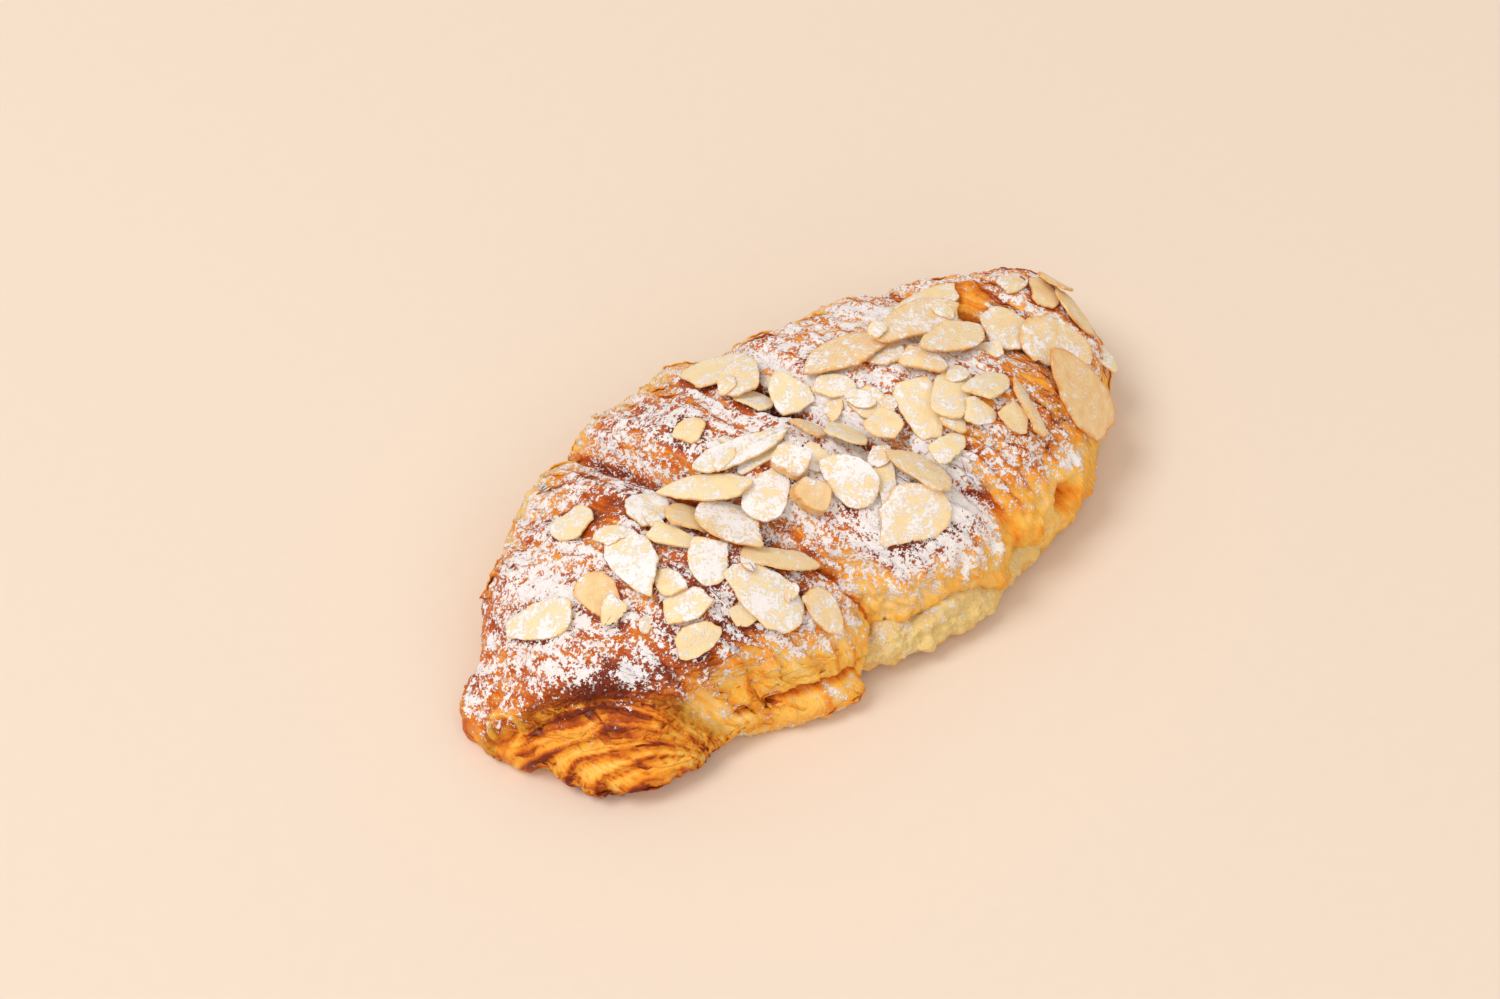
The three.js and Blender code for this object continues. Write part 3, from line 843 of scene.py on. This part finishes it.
def even_mesh(node):
    """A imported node's shape remade of small even squares: corners, normals and faces."""
    copy = bpy.data.objects.new("even_mesh", node.data.copy())
    bpy.context.scene.collection.objects.link(copy)
    remesh = copy.modifiers.new("even", "REMESH")
    remesh.mode = "VOXEL"
    remesh.voxel_size = CREAM_SQUARE * MM
    soften = copy.modifiers.new("soften", "SMOOTH")
    soften.iterations = CREAM_SOFTENING
    graph = bpy.context.evaluated_depsgraph_get()
    shape = bpy.data.meshes.new_from_object(copy.evaluated_get(graph))
    points = np.array([v.co for v in shape.vertices]) / MM
    normals = np.array([v.normal for v in shape.vertices])
    faces = [tuple(p.vertices) for p in shape.polygons]
    bpy.data.objects.remove(copy)
    bpy.data.meshes.remove(shape)
    return points, normals, faces


def build_cream(sizes, colours):
    points, normals, faces = even_mesh(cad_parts["almond_cream"])
    noise = Noise(SEEDS["cream"])
    x, _, z = points.T
    crumbs = 1.6 * noise.at(points, 7) + 1.3 * noise.at(points, 3.2)
    crumbs = crumbs + 0.8 * noise.at(points, 1.5) + 0.45 * noise.at(points, 0.8)
    height = crumbs * sizes.crumb / MM

    # A wavy crack runs along the cream about 8 mm up, and past the torn tab the cream bulges.
    above_crack = z - 8 - 0.06 * (x + 5) - 0.8 * noise.at(points, 6)
    crack = np.exp(-((above_crack / 0.7) ** 2)) * ramp(-6, 0, x) * ramp(34, 26, x)
    bulge = ramp(-4, 6, x) * ramp(1, 4, z)
    height = (height - 0.8 * crack + 1.1 * bulge) * ramp(0.0, 1.5, z)
    moved = points + normals * height[:, None]
    moved[:, 2] = np.maximum(moved[:, 2], 0.0)
    browned = 0.06 + 0.6 * ramp(8, 2, z) + 0.35 * ramp(22, 34, x) + 0.35 * noise.at(points, 4)
    sugar = 0.05 + 0.3 * ramp(0.2, 0.9, normals[:, 2]) + 0.2 * noise.at(points, 2.5)
    make_piece(
        "almond_cream_edge",
        moved,
        faces,
        cream_material(colours),
        "almond_cream",
        ["almond_cream"],
        browned=browned,
        sugar=sugar,
    )


# ------------------------------------------------------------------------------ flaked almonds

FLAKE_NAMES = sorted(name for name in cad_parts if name.startswith("almond_flake_"))
OUTLINE = 72  # points round a flake
TOP_SKIN = 0.05  # a plate's corners this close to its top belong to its outline
OUTLINE_GROWTH = 1.07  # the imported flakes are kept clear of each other, so they are a little small
CHIPS = 2  # bits snapped off each slice
CHUNK = 1.5  # a flake at least this thick is a chunk of almond, not a slice
SLICE_THINNING, CHUNK_THINNING = 0.6, 0.9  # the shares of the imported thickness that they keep

BARE_FLAKES = {2, 10, 15, 16, 20, 25, 51, 52, 55, 56, 57, 58}
DUSTED_FLAKES = {1, 8, 9, 12, 13, 17, 18, 22, 23, 24, 28, 30}
TOASTED_FLAKES = {2, 20, 25, 46, 49, 54, 55, 56, 57, 58}
SUGAR_BARE, SUGAR_USUAL, SUGAR_DUSTED = 0.12, 0.38, 0.62
TOAST_USUAL, TOAST_TOASTED = 0.12, 0.32

# A slice's rings, from its rim to its middle: their shares of the outline and of half the thickness.
RING_SHARES = np.array([1.0, 0.985, 0.93, 0.84, 0.70, 0.52, 0.34, 0.17])
RING_HALVES = np.array([0.80, 0.97, 1.0, 1.0, 1.0, 1.0, 1.0, 1.0])


class Plate:
    """A packed flake as a flat plate: its middle, its own axes, its outline and its thickness."""

    def __init__(self, node):
        points = corners_of(node)
        corners = points[np.array([face[:3] for face in faces_of(node)])]
        normals = np.cross(corners[:, 1] - corners[:, 0], corners[:, 2] - corners[:, 0])
        areas = np.linalg.norm(normals, axis=1)
        up = normals[areas.argmax()] / areas.max()
        self.up = up if up[2] > 0 else -up
        levels = points @ self.up
        self.thickness = levels.max() - levels.min()
        on_top = levels > levels.max() - TOP_SKIN
        top = np.unique(points[on_top].round(3), axis=0)
        self.middle = top.mean(0) - self.up * self.thickness / 2
        spread = top - top.mean(0)
        self.along = np.linalg.svd(spread, full_matrices=False)[2][0]
        self.across = np.cross(self.up, self.along)
        self.outline = in_order(np.stack([spread @ self.along, spread @ self.across], -1))


def in_order(corners):
    """An outline's corners sorted round the middle, with points between them."""
    angles = np.arctan2(corners[:, 1], corners[:, 0])
    order = angles.argsort()
    wanted = np.linspace(-math.pi, math.pi, OUTLINE, endpoint=False)
    sides = [np.interp(wanted, angles[order], side[order], period=2 * math.pi) for side in corners.T]
    return blur(np.stack(sides, -1), 0.5, 0, wrap=True)


def chipped(outline, random):
    """The outline with bits snapped off along straight, slightly jagged lines."""
    outline = outline.copy()
    for _ in range(CHIPS):
        bearing = random.uniform(-math.pi, math.pi)
        heading = np.array([math.cos(bearing), math.sin(bearing)])
        reach = outline @ heading
        limit = reach.max() * random.uniform(0.72, 0.93)
        jagged = limit + random.normal(0, 0.09, len(reach))
        outline += np.minimum(0, jagged - reach)[:, None] * heading
    return outline


class Slice:
    """A thin slice of almond, bent and chipped, as a mesh with its rim, toast and sugar."""

    def __init__(self, plate, number, sizes, noise, dust, toast):
        random = np.random.default_rng(number)
        rim = self.rim(plate, number, noise, random)
        half_length, half_width = np.abs(rim).max(0)

        # Rings run from the middle of the top, out over the rim, and back underneath.
        shares = np.concatenate([RING_SHARES[::-1], RING_SHARES])
        thinning = SLICE_THINNING if plate.thickness < CHUNK else CHUNK_THINNING
        halves = np.concatenate([RING_HALVES[::-1], -RING_HALVES]) * thinning
        sunk = 1 - thinning  # the underside stays where the plate's is
        levels = (halves - sunk) * plate.thickness / 2
        flat = rim * shares[:, None, None]
        lengthways, crossways = flat[..., 0] / half_length, flat[..., 1] / half_width
        bend = lengthways**2 + 0.5 * crossways**2
        bend = bend * sizes.flake_curl / MM * random.uniform(0.0, 1.0)
        twist = random.uniform(-0.4, 0.4) * lengthways * crossways
        own = np.concatenate([flat, np.full((*flat.shape[:2], 1), number * 7.0)], -1)
        warp = 0.20 * noise.at(own, 3.2) + 0.07 * noise.at(own, 1.1)
        lift = levels[:, None] + twist + warp - bend
        grid = plate.middle + flat[..., :1] * plate.along + flat[..., 1:] * plate.across
        grid = grid + lift[..., None] * plate.up

        rows = len(shares)
        top_pole, under_pole = rows * OUTLINE, rows * OUTLINE + 1
        last_ring = range((rows - 1) * OUTLINE, rows * OUTLINE)
        self.points = with_poles(grid)
        self.faces = [face[::-1] for face in grid_faces(rows, OUTLINE)]
        self.faces += cap_faces(range(OUTLINE), top_pole)
        self.faces += cap_faces(last_ring, under_pole, flip=True)

        on_top = (np.arange(rows) < len(RING_SHARES))[:, None]
        rim_tone = ramp(0.90, 1.0, shares)[:, None] * np.ones(OUTLINE)
        toasting = np.full(rim_tone.shape, toast + random.uniform(-0.12, 0.22))
        patches = 0.4 * noise.at(grid, 4.0)
        sugar = dust * max(0.2, plate.up[2]) + patches - 0.12 * rim_tone
        sugar = np.where(on_top, sugar, NO_SUGAR)
        self.attributes = {
            "rim": with_poles(rim_tone),
            "toast": with_poles(toasting),
            "sugar": with_poles(sugar),
        }

    @staticmethod
    def rim(plate, number, noise, random):
        """The plate's outline, chipped and uneven, with noise from a plane of its own."""
        rim = chipped(plate.outline * OUTLINE_GROWTH, random)
        own = np.full((OUTLINE, 1), number * 9.0)
        rim = rim * (1 + 0.06 * noise.at(np.hstack([rim, own]), 2.6)[:, None])
        return rim + 0.14 * noise.at(np.hstack([rim, own]), 0.9)[:, None]


def build_flake(name, sizes, material, noise):
    number = int(name[-2:])
    dust = SUGAR_USUAL
    if number in BARE_FLAKES:
        dust = SUGAR_BARE
    elif number in DUSTED_FLAKES:
        dust = SUGAR_DUSTED
    toast = TOAST_TOASTED if number in TOASTED_FLAKES else TOAST_USUAL
    flake = Slice(Plate(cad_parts[name]), number, sizes, noise, dust, toast)
    make_piece(
        f"{name}_slice",
        flake.points,
        flake.faces,
        material,
        "almond_flake",
        [name],
        **flake.attributes,
    )


def joined(parts):
    """Several meshes as one: corners, faces and attributes."""
    points, faces = [], []
    start = 0
    for part in parts:
        points.append(part.points)
        faces += [tuple(start + k for k in face) for face in part.faces]
        start += len(part.points)
    keys = parts[0].attributes
    attributes = {key: np.concatenate([part.attributes[key] for part in parts]) for key in keys}
    return np.concatenate(points), faces, attributes


# ------------------------------------------------------------------------------ almond slivers

# Splinters too small for solids of their own: middle in plan, bearing, length and width.
SLIVERS = [
    (-18.3, 0.9, 15, 7.0, 2.6),
    (13.7, -4.3, -60, 6.5, 4.0),
    (-45.0, 3.8, -40, 7.0, 4.5),
    (-3.6, 16.6, 20, 5.5, 3.2),
    (9.3, -1.2, 35, 6.0, 3.6),
    (-37.0, 0.8, 80, 6.0, 3.0),
    (72.6, -18.0, -80, 8.0, 5.5),
    (46.0, -9.0, -20, 7.0, 4.2),
    (66.0, 4.0, 10, 9.0, 5.5),
    (-30.0, -19.0, 60, 5.0, 3.0),
    (-7.0, -15.0, -30, 5.0, 3.5),
    (7.0, -17.0, 10, 6.0, 4.0),
    (17.0, -9.0, 50, 5.5, 3.5),
    (33.0, -12.0, -15, 6.0, 3.5),
    (-26.0, -27.0, 30, 4.5, 2.6),
    (-52.0, -14.0, 50, 4.0, 2.4),
    (44.0, 3.0, 75, 6.0, 3.8),
    (-13.0, 5.0, -45, 4.5, 2.4),
    (27.0, 5.0, 20, 5.0, 3.5),
    (6.0, 14.0, -65, 4.5, 2.8),
]
SLIVER_THICKNESS = 0.8
FIRST_SLIVER = 101  # each slice is seeded by its number, and the slivers' come after the flakes'


class Resting:
    """An oval plate that lies on whatever is under a place in plan."""

    def __init__(self, tree, x, y, bearing, long, wide):
        above = Vector((x, y, 100))
        under, normal, _, _ = tree.ray_cast(above, Vector((0, 0, -1)))

        # It tilts less than the surface does, because its ends rest on what is round it.
        tilted = 0.6 * np.array(normal) + 0.4 * np.array([0, 0, 1])
        self.up = tilted / np.linalg.norm(tilted)
        turn = math.radians(bearing)
        heading = np.array([math.cos(turn), math.sin(turn), 0])
        along = heading - self.up * (heading @ self.up)
        self.along = along / np.linalg.norm(along)
        self.across = np.cross(self.up, self.along)
        self.thickness = SLIVER_THICKNESS
        self.middle = np.array(under) + self.up * self.thickness * 0.7
        angles = np.linspace(-math.pi, math.pi, OUTLINE, endpoint=False)
        self.outline = np.stack([np.cos(angles) * long / 2, np.sin(angles) * wide / 2], -1)


def build_slivers(sizes, ground, material):
    noise = Noise(SEEDS["slivers"])
    parts = []
    for number, sliver in enumerate(SLIVERS, start=FIRST_SLIVER):
        parts.append(Slice(Resting(ground, *sliver), number, sizes, noise, dust=0.5, toast=0.2))
    points, faces, attributes = joined(parts)
    make_piece("almond_slivers", points, faces, material, "almond_flake", **attributes)


# ------------------------------------------------------------------------------ crust leaves

# Beds of thin crust leaves: ranges along X and round the croissant (0 far side, 90 top, 180 near side,
# in degrees), how many there are, how long and wide they are, how far their free edges lift, what they
# add to the tone of the crust below, and whether they follow the tip's fan.
Bed = namedtuple("Bed", "x turn count long wide lift tone fan")
LEAF_BEDS = [
    Bed((-60, -16), (132, 174), 60, (8, 18), (1.2, 2.8), 0.45, 0.02, False),  # near side, tip half
    Bed((-77, -56), (146, 186), 20, (12, 22), (0.8, 1.7), 0.35, 0.06, True),  # the tip's folds
    Bed((-76, -60), (184, 196), 14, (4, 9), (1.2, 2.6), 0.6, 0.20, True),  # the tip's lowest edge
    Bed((16, 56), (124, 152), 40, (6, 14), (1.6, 3.8), 0.7, 0.02, False),  # near side, blunt half
    Bed((-62, 60), (2, 40), 60, (7, 18), (1.4, 3.2), 1.0, -0.14, False),  # far side
    Bed((-66, 66), (55, 135), 60, (5, 13), (1.0, 2.4), 0.4, 0.04, False),  # top
    Bed((60, 80), (0, 180), 34, (5, 12), (1.4, 3.2), 0.7, 0.03, False),  # blunt end
    Bed((-46, -17), (176, 190), 16, (4, 9), (1.0, 2.2), 0.5, 0.10, False),  # the torn tab
    Bed((-39, -37), (29, 31), 1, (4, 5), (4, 5), 3.2, 0.0, False),  # one that stands up
]
LEAF_ROWS, LEAF_COLUMNS = 18, 6
LEAF_GAP = 3.0  # a leaf that would span a hollow deeper than this is left out
LEAF_ROOT = 0.25  # how deep its fixed edge sits in the crust
LEAF_THICKNESS, ROOT_THICKNESS = 0.22, 0.10
LEAF_CLEARANCE = 0.35  # between a leaf and the flakes over it
LEAF_LOWEST = 0.05  # above the table


class Crust:
    """The finished pastry: its surface can be searched, and knows its tone and sugar there."""

    def __init__(self, piece, flakes_tree):
        self.tree = tree_of([piece])
        self.flakes_tree = flakes_tree
        self.material = piece.active_material
        self.corners = [polygon.vertices[0] for polygon in piece.data.polygons]
        self.tone = self.values(piece, "tone")
        self.sugar = self.values(piece, "sugar")

    @staticmethod
    def values(piece, name):
        layer = piece.data.attributes[name].data
        found = np.empty(len(layer), np.float32)
        layer.foreach_get("value", found)
        return found

    def nearest(self, points):
        """Places, normals, tones and sugar on the surface nearest to the points."""
        found = [self.tree.find_nearest(Vector(point)) for point in points]
        corners = [self.corners[hit[2]] for hit in found]
        places = np.array([hit[0] for hit in found])
        normals = np.array([hit[1] for hit in found])
        return places, normals, self.tone[corners], self.sugar[corners]


class Leaf:
    """A thin sheet of crust that follows the surface, fixed on one edge and free on the other."""

    def __init__(self, crust, bed, place, random, number, noise):
        long, wide = random.uniform(*bed.long), random.uniform(*bed.wide)
        heading, free_side = leaf_heading(place, bed.fan)
        normal = crust.nearest([place])[1][0]
        along = heading - normal * (heading @ normal)
        along = along / np.linalg.norm(along)
        across = np.cross(normal, along)
        across = across * np.sign(across @ free_side)

        # u runs along the leaf from -1 to 1, v from its fixed edge at 0 to its free edge at 1.
        u = np.linspace(-1, 1, LEAF_ROWS)[:, None] * np.ones(LEAF_COLUMNS)
        v = np.linspace(0, 1, LEAF_COLUMNS)[None] * np.ones((LEAF_ROWS, 1))

        # It reads the noise in a plane of its own, and is ragged along its length.
        own = np.stack([u * long / 2, v * 0, np.full(u.shape, number * 5.0)], -1)
        ragged = 1 + 0.4 * noise.at(own, 2.6) + 0.2 * noise.at(own, 0.9)
        width = wide * (1 - np.abs(u) ** 3) * ragged
        flat = np.array(place) + along * (u * long / 2)[..., None] + across * (v * width)[..., None]
        on, out, tone, sugar = crust.nearest(flat.reshape(-1, 3))
        self.fits = np.linalg.norm(on - flat.reshape(-1, 3), axis=1).max() < LEAF_GAP

        lift = bed.lift * random.uniform(0.3, 1.2)
        rise = lift * v**1.5 * (0.6 + 0.5 * noise.at(own + 20, 3.0)) * (1 - u**4)
        fixed = v.ravel() == 0
        room = np.maximum(clearances(crust.flakes_tree, on) - LEAF_CLEARANCE, -LEAF_ROOT)
        rise = np.minimum(np.where(fixed, -LEAF_ROOT, rise.ravel() + 0.05), room)
        thickness = np.where(fixed, ROOT_THICKNESS, LEAF_THICKNESS)
        outer = on + out * rise[:, None]
        inner = on + out * (rise - thickness)[:, None]
        self.points = np.concatenate([outer, inner])
        self.points[:, 2] = np.maximum(self.points[:, 2], LEAF_LOWEST)
        self.faces = self.sheet_faces(np.dot(np.cross(along, across), normal) > 0)
        edge = ramp(0.5, 1.0, v).ravel()
        tone = tone + bed.tone + random.uniform(-0.05, 0.05) + 0.10 * edge
        sugar = sugar - 0.12 * edge
        layers = np.stack([v * wide, u * long / 2, v * 0], -1).reshape(-1, 3)
        self.attributes = {
            "tone": np.concatenate([tone, tone]),
            "sugar": np.concatenate([sugar, np.full(len(sugar), NO_SUGAR)]),
            "layers": np.concatenate([layers, layers]),
        }

    @staticmethod
    def sheet_faces(upright):
        """Faces of the outer and inner sheets and of the thin edge between them."""
        count = LEAF_ROWS * LEAF_COLUMNS
        faces = []
        for row in range(LEAF_ROWS - 1):
            for column in range(LEAF_COLUMNS - 1):
                a = row * LEAF_COLUMNS + column
                quad = (a, a + LEAF_COLUMNS, a + LEAF_COLUMNS + 1, a + 1)
                faces.append(quad)
                faces.append(tuple(count + k for k in quad[::-1]))
        first_row = list(range(LEAF_COLUMNS))
        free_edge = list(range(LEAF_COLUMNS - 1, count, LEAF_COLUMNS))
        last_row = list(range(count - 1, count - LEAF_COLUMNS - 1, -1))
        fixed_edge = list(range(count - LEAF_COLUMNS, -1, -LEAF_COLUMNS))
        border = first_row + free_edge[1:] + last_row[1:] + fixed_edge[1:-1]
        for a, b in zip(border, [*border[1:], border[0]]):
            faces.append((a, b, count + b, count + a))
        return faces if upright else [face[::-1] for face in faces]


def place_round(tree, x, turn):
    """The surface's outermost point at this place along X and this angle round the croissant."""
    angle = math.radians(turn)
    station = max(-CORE_HALF, min(CORE_HALF, x))
    swing = (x - station) / (CAD_HIGH.x / MM - CORE_HALF) * math.pi / 2
    heading = Vector((0, math.cos(angle), math.sin(angle))) * math.cos(swing)
    heading += Vector((math.sin(swing), 0, 0))
    start = Vector((station, 0, CORE_HEIGHT))
    return tree.ray_cast(start + heading * CORE_REACH, -heading)[0]


def leaf_heading(place, fan):
    """Along the dough's layers at a place, and towards the side where a leaf's edge is free."""
    if fan:
        outwards = np.array([place.x - TIP_FAN["x"], place.y - TIP_FAN["y"], 0])
        outwards = outwards / np.linalg.norm(outwards)
        return outwards + np.array([0, 0, 0.2]), np.array([-outwards[1], outwards[0], -1.0])
    slope = 0.25 - 0.01 * place.y
    return np.array([-slope, 1, 0.01]), np.array([-1.0, -0.2, 0.0])


def build_leaves(crust):
    noise = Noise(SEEDS["leaves"])
    random = np.random.default_rng(SEEDS["leaf_places"])
    leaves = []
    for bed in LEAF_BEDS:
        for _ in range(bed.count):
            place = place_round(crust.tree, random.uniform(*bed.x), random.uniform(*bed.turn))
            leaves.append(Leaf(crust, bed, place, random, len(leaves), noise))
    points, faces, attributes = joined([leaf for leaf in leaves if leaf.fits])
    make_piece("crust_leaves", points, faces, crust.material, "baked_crust", **attributes)


# ------------------------------------------------------------------------------ stage

# The camera looks down on the near side, past the tip, through a long lens.
CAMERA = {"azimuth": -42, "elevation": 50, "distance": 616.6, "lens": 70, "target": (0.1, 13.8, 0)}

# Round lights: where they stand in degrees and metres, their width in metres and their power in watts.
Light = namedtuple("Light", "name azimuth elevation distance width power tint")
LIGHTS = [
    Light("window", -112, 60, 2.0, 1.0, 19.0, (1.0, 1.0, 1.0)),
    Light("room", -28, 44, 2.2, 2.4, 14.0, (1.0, 0.97, 0.94)),
]
SURROUNDINGS = {"Color": (1.0, 0.935, 0.84, 1), "Strength": 0.62}


def point_at(thing, target):
    thing.rotation_mode = "QUATERNION"
    thing.rotation_quaternion = (Vector(target) - thing.location).to_track_quat("-Z", "Y")


def from_angle(azimuth, elevation, distance, target):
    """A place seen from the target at this bearing; azimuth 0 is the near side, in degrees."""
    a, e = math.radians(azimuth), math.radians(elevation)
    back = Vector((math.sin(a) * math.cos(e), -math.cos(a) * math.cos(e), math.sin(e)))
    return Vector(target) + back * distance


def add_camera():
    target = Vector(CAMERA["target"]) * MM
    data = bpy.data.cameras.new("camera")
    data.lens = CAMERA["lens"]
    camera = bpy.data.objects.new("camera", data)
    bpy.context.scene.collection.objects.link(camera)
    distance = CAMERA["distance"] * MM
    camera.location = from_angle(CAMERA["azimuth"], CAMERA["elevation"], distance, target)
    point_at(camera, target)
    bpy.context.scene.camera = camera


def add_light(light):
    """A round light that shines on the croissant."""
    data = bpy.data.lights.new(light.name, "AREA")
    data.shape = "DISK"
    data.size = light.width
    data.energy = light.power
    data.color = light.tint
    lamp = bpy.data.objects.new(light.name, data)
    bpy.context.scene.collection.objects.link(lamp)
    middle = (0, 0, 0)
    lamp.location = from_angle(light.azimuth, light.elevation, light.distance, middle)
    point_at(lamp, middle)


def add_surroundings():
    """Even light from all round, as in a bright room."""
    world = bpy.data.worlds.new("room")
    world.use_nodes = True
    background = world.node_tree.nodes["Background"]
    for key, value in SURROUNDINGS.items():
        background.inputs[key].default_value = value
    bpy.context.scene.world = world


def add_table(colours):
    """A wide flat board under the croissant, with its top at the croissant's underside."""
    half, depth = 1600.0, 20.0
    low, high = CAD_LOW.z / MM - depth, CAD_LOW.z / MM
    square = ((-half, -half), (half, -half), (half, half), (-half, half))
    corners = [(x, y, z) for z in (low, high) for x, y in square]
    mesh = bpy.data.meshes.new("table")
    sides = [(k, (k + 1) % 4, (k + 1) % 4 + 4, k + 4) for k in range(4)]
    mesh.from_pydata((np.array(corners) * MM).tolist(), [], [(3, 2, 1, 0), (4, 5, 6, 7), *sides])
    mesh.materials.append(table_material(colours))
    table = bpy.data.objects.new("table", mesh)
    bpy.context.scene.collection.objects.link(table)


# ------------------------------------------------------------------------------ operators


class CROISSANT_OT_pastry(bpy.types.Operator):
    """Bake the pastry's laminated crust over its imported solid"""

    bl_idname = "croissant.pastry"
    bl_label = "Pastry"

    def execute(self, context):
        scene = context.scene
        flakes = tree_of([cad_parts[name] for name in FLAKE_NAMES])
        cream = tree_of([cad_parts["almond_cream"]])
        build_pastry(scene.croissant_sizes, scene.croissant_colours, flakes, cream)
        return {"FINISHED"}


class CROISSANT_OT_cream(bpy.types.Operator):
    """Run the almond cream out along the near side"""

    bl_idname = "croissant.cream"
    bl_label = "Almond cream"

    def execute(self, context):
        build_cream(context.scene.croissant_sizes, context.scene.croissant_colours)
        return {"FINISHED"}


class CROISSANT_OT_flakes(bpy.types.Operator):
    """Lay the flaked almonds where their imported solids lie"""

    bl_idname = "croissant.flakes"
    bl_label = "Flaked almonds"

    def execute(self, context):
        material = almond_material(context.scene.croissant_colours)
        noise = Noise(SEEDS["flakes"])
        for name in FLAKE_NAMES:
            build_flake(name, context.scene.croissant_sizes, material, noise)
        return {"FINISHED"}


class CROISSANT_OT_slivers(bpy.types.Operator):
    """Strew the smallest almond splinters over the top"""

    bl_idname = "croissant.slivers"
    bl_label = "Almond slivers"

    def execute(self, context):
        slices = [bpy.data.objects[f"{name}_slice"] for name in FLAKE_NAMES]
        ground = tree_of([bpy.data.objects["pastry_crust"], *slices])
        build_slivers(context.scene.croissant_sizes, ground, slices[0].active_material)
        return {"FINISHED"}


class CROISSANT_OT_leaves(bpy.types.Operator):
    """Lift thin leaves of crust along the dough's layers"""

    bl_idname = "croissant.leaves"
    bl_label = "Crust leaves"

    def execute(self, context):
        flakes = tree_of([bpy.data.objects[f"{name}_slice"] for name in FLAKE_NAMES])
        build_leaves(Crust(bpy.data.objects["pastry_crust"], flakes))
        return {"FINISHED"}


class CROISSANT_OT_stage(bpy.types.Operator):
    """Set the table, the lights and the camera"""

    bl_idname = "croissant.stage"
    bl_label = "Stage"

    def execute(self, context):
        add_table(context.scene.croissant_colours)
        for light in LIGHTS:
            add_light(light)
        add_camera()
        add_surroundings()
        context.scene.view_settings.view_transform = "Standard"
        return {"FINISHED"}


class CROISSANT_PT_panel(bpy.types.Panel):
    """Everything that makes the croissant, in order"""

    bl_idname = "CROISSANT_PT_panel"
    bl_label = "Almond Croissant"
    bl_space_type = "VIEW_3D"
    bl_region_type = "UI"
    bl_category = "Croissant"

    def draw(self, context):
        for group in (context.scene.croissant_sizes, context.scene.croissant_colours):
            column = self.layout.column()
            for key in group.__annotations__:
                column.prop(group, key)
        for operator in OPERATORS:
            self.layout.operator(operator.bl_idname)


OPERATORS = (
    CROISSANT_OT_stage,
    CROISSANT_OT_pastry,
    CROISSANT_OT_cream,
    CROISSANT_OT_flakes,
    CROISSANT_OT_slivers,
    CROISSANT_OT_leaves,
)
CLASSES = (CroissantSizes, CroissantColours, *OPERATORS, CROISSANT_PT_panel)


def register():
    for each in CLASSES:
        bpy.utils.register_class(each)
    bpy.types.Scene.croissant_sizes = PointerProperty(type=CroissantSizes)
    bpy.types.Scene.croissant_colours = PointerProperty(type=CroissantColours)


def unregister():
    del bpy.types.Scene.croissant_colours
    del bpy.types.Scene.croissant_sizes
    for each in reversed(CLASSES):
        bpy.utils.unregister_class(each)


def main():
    register()
    for operator in OPERATORS:
        name = operator.bl_idname.split(".")[1]
        getattr(bpy.ops.croissant, name)()


if __name__ == "__main__":
    main()
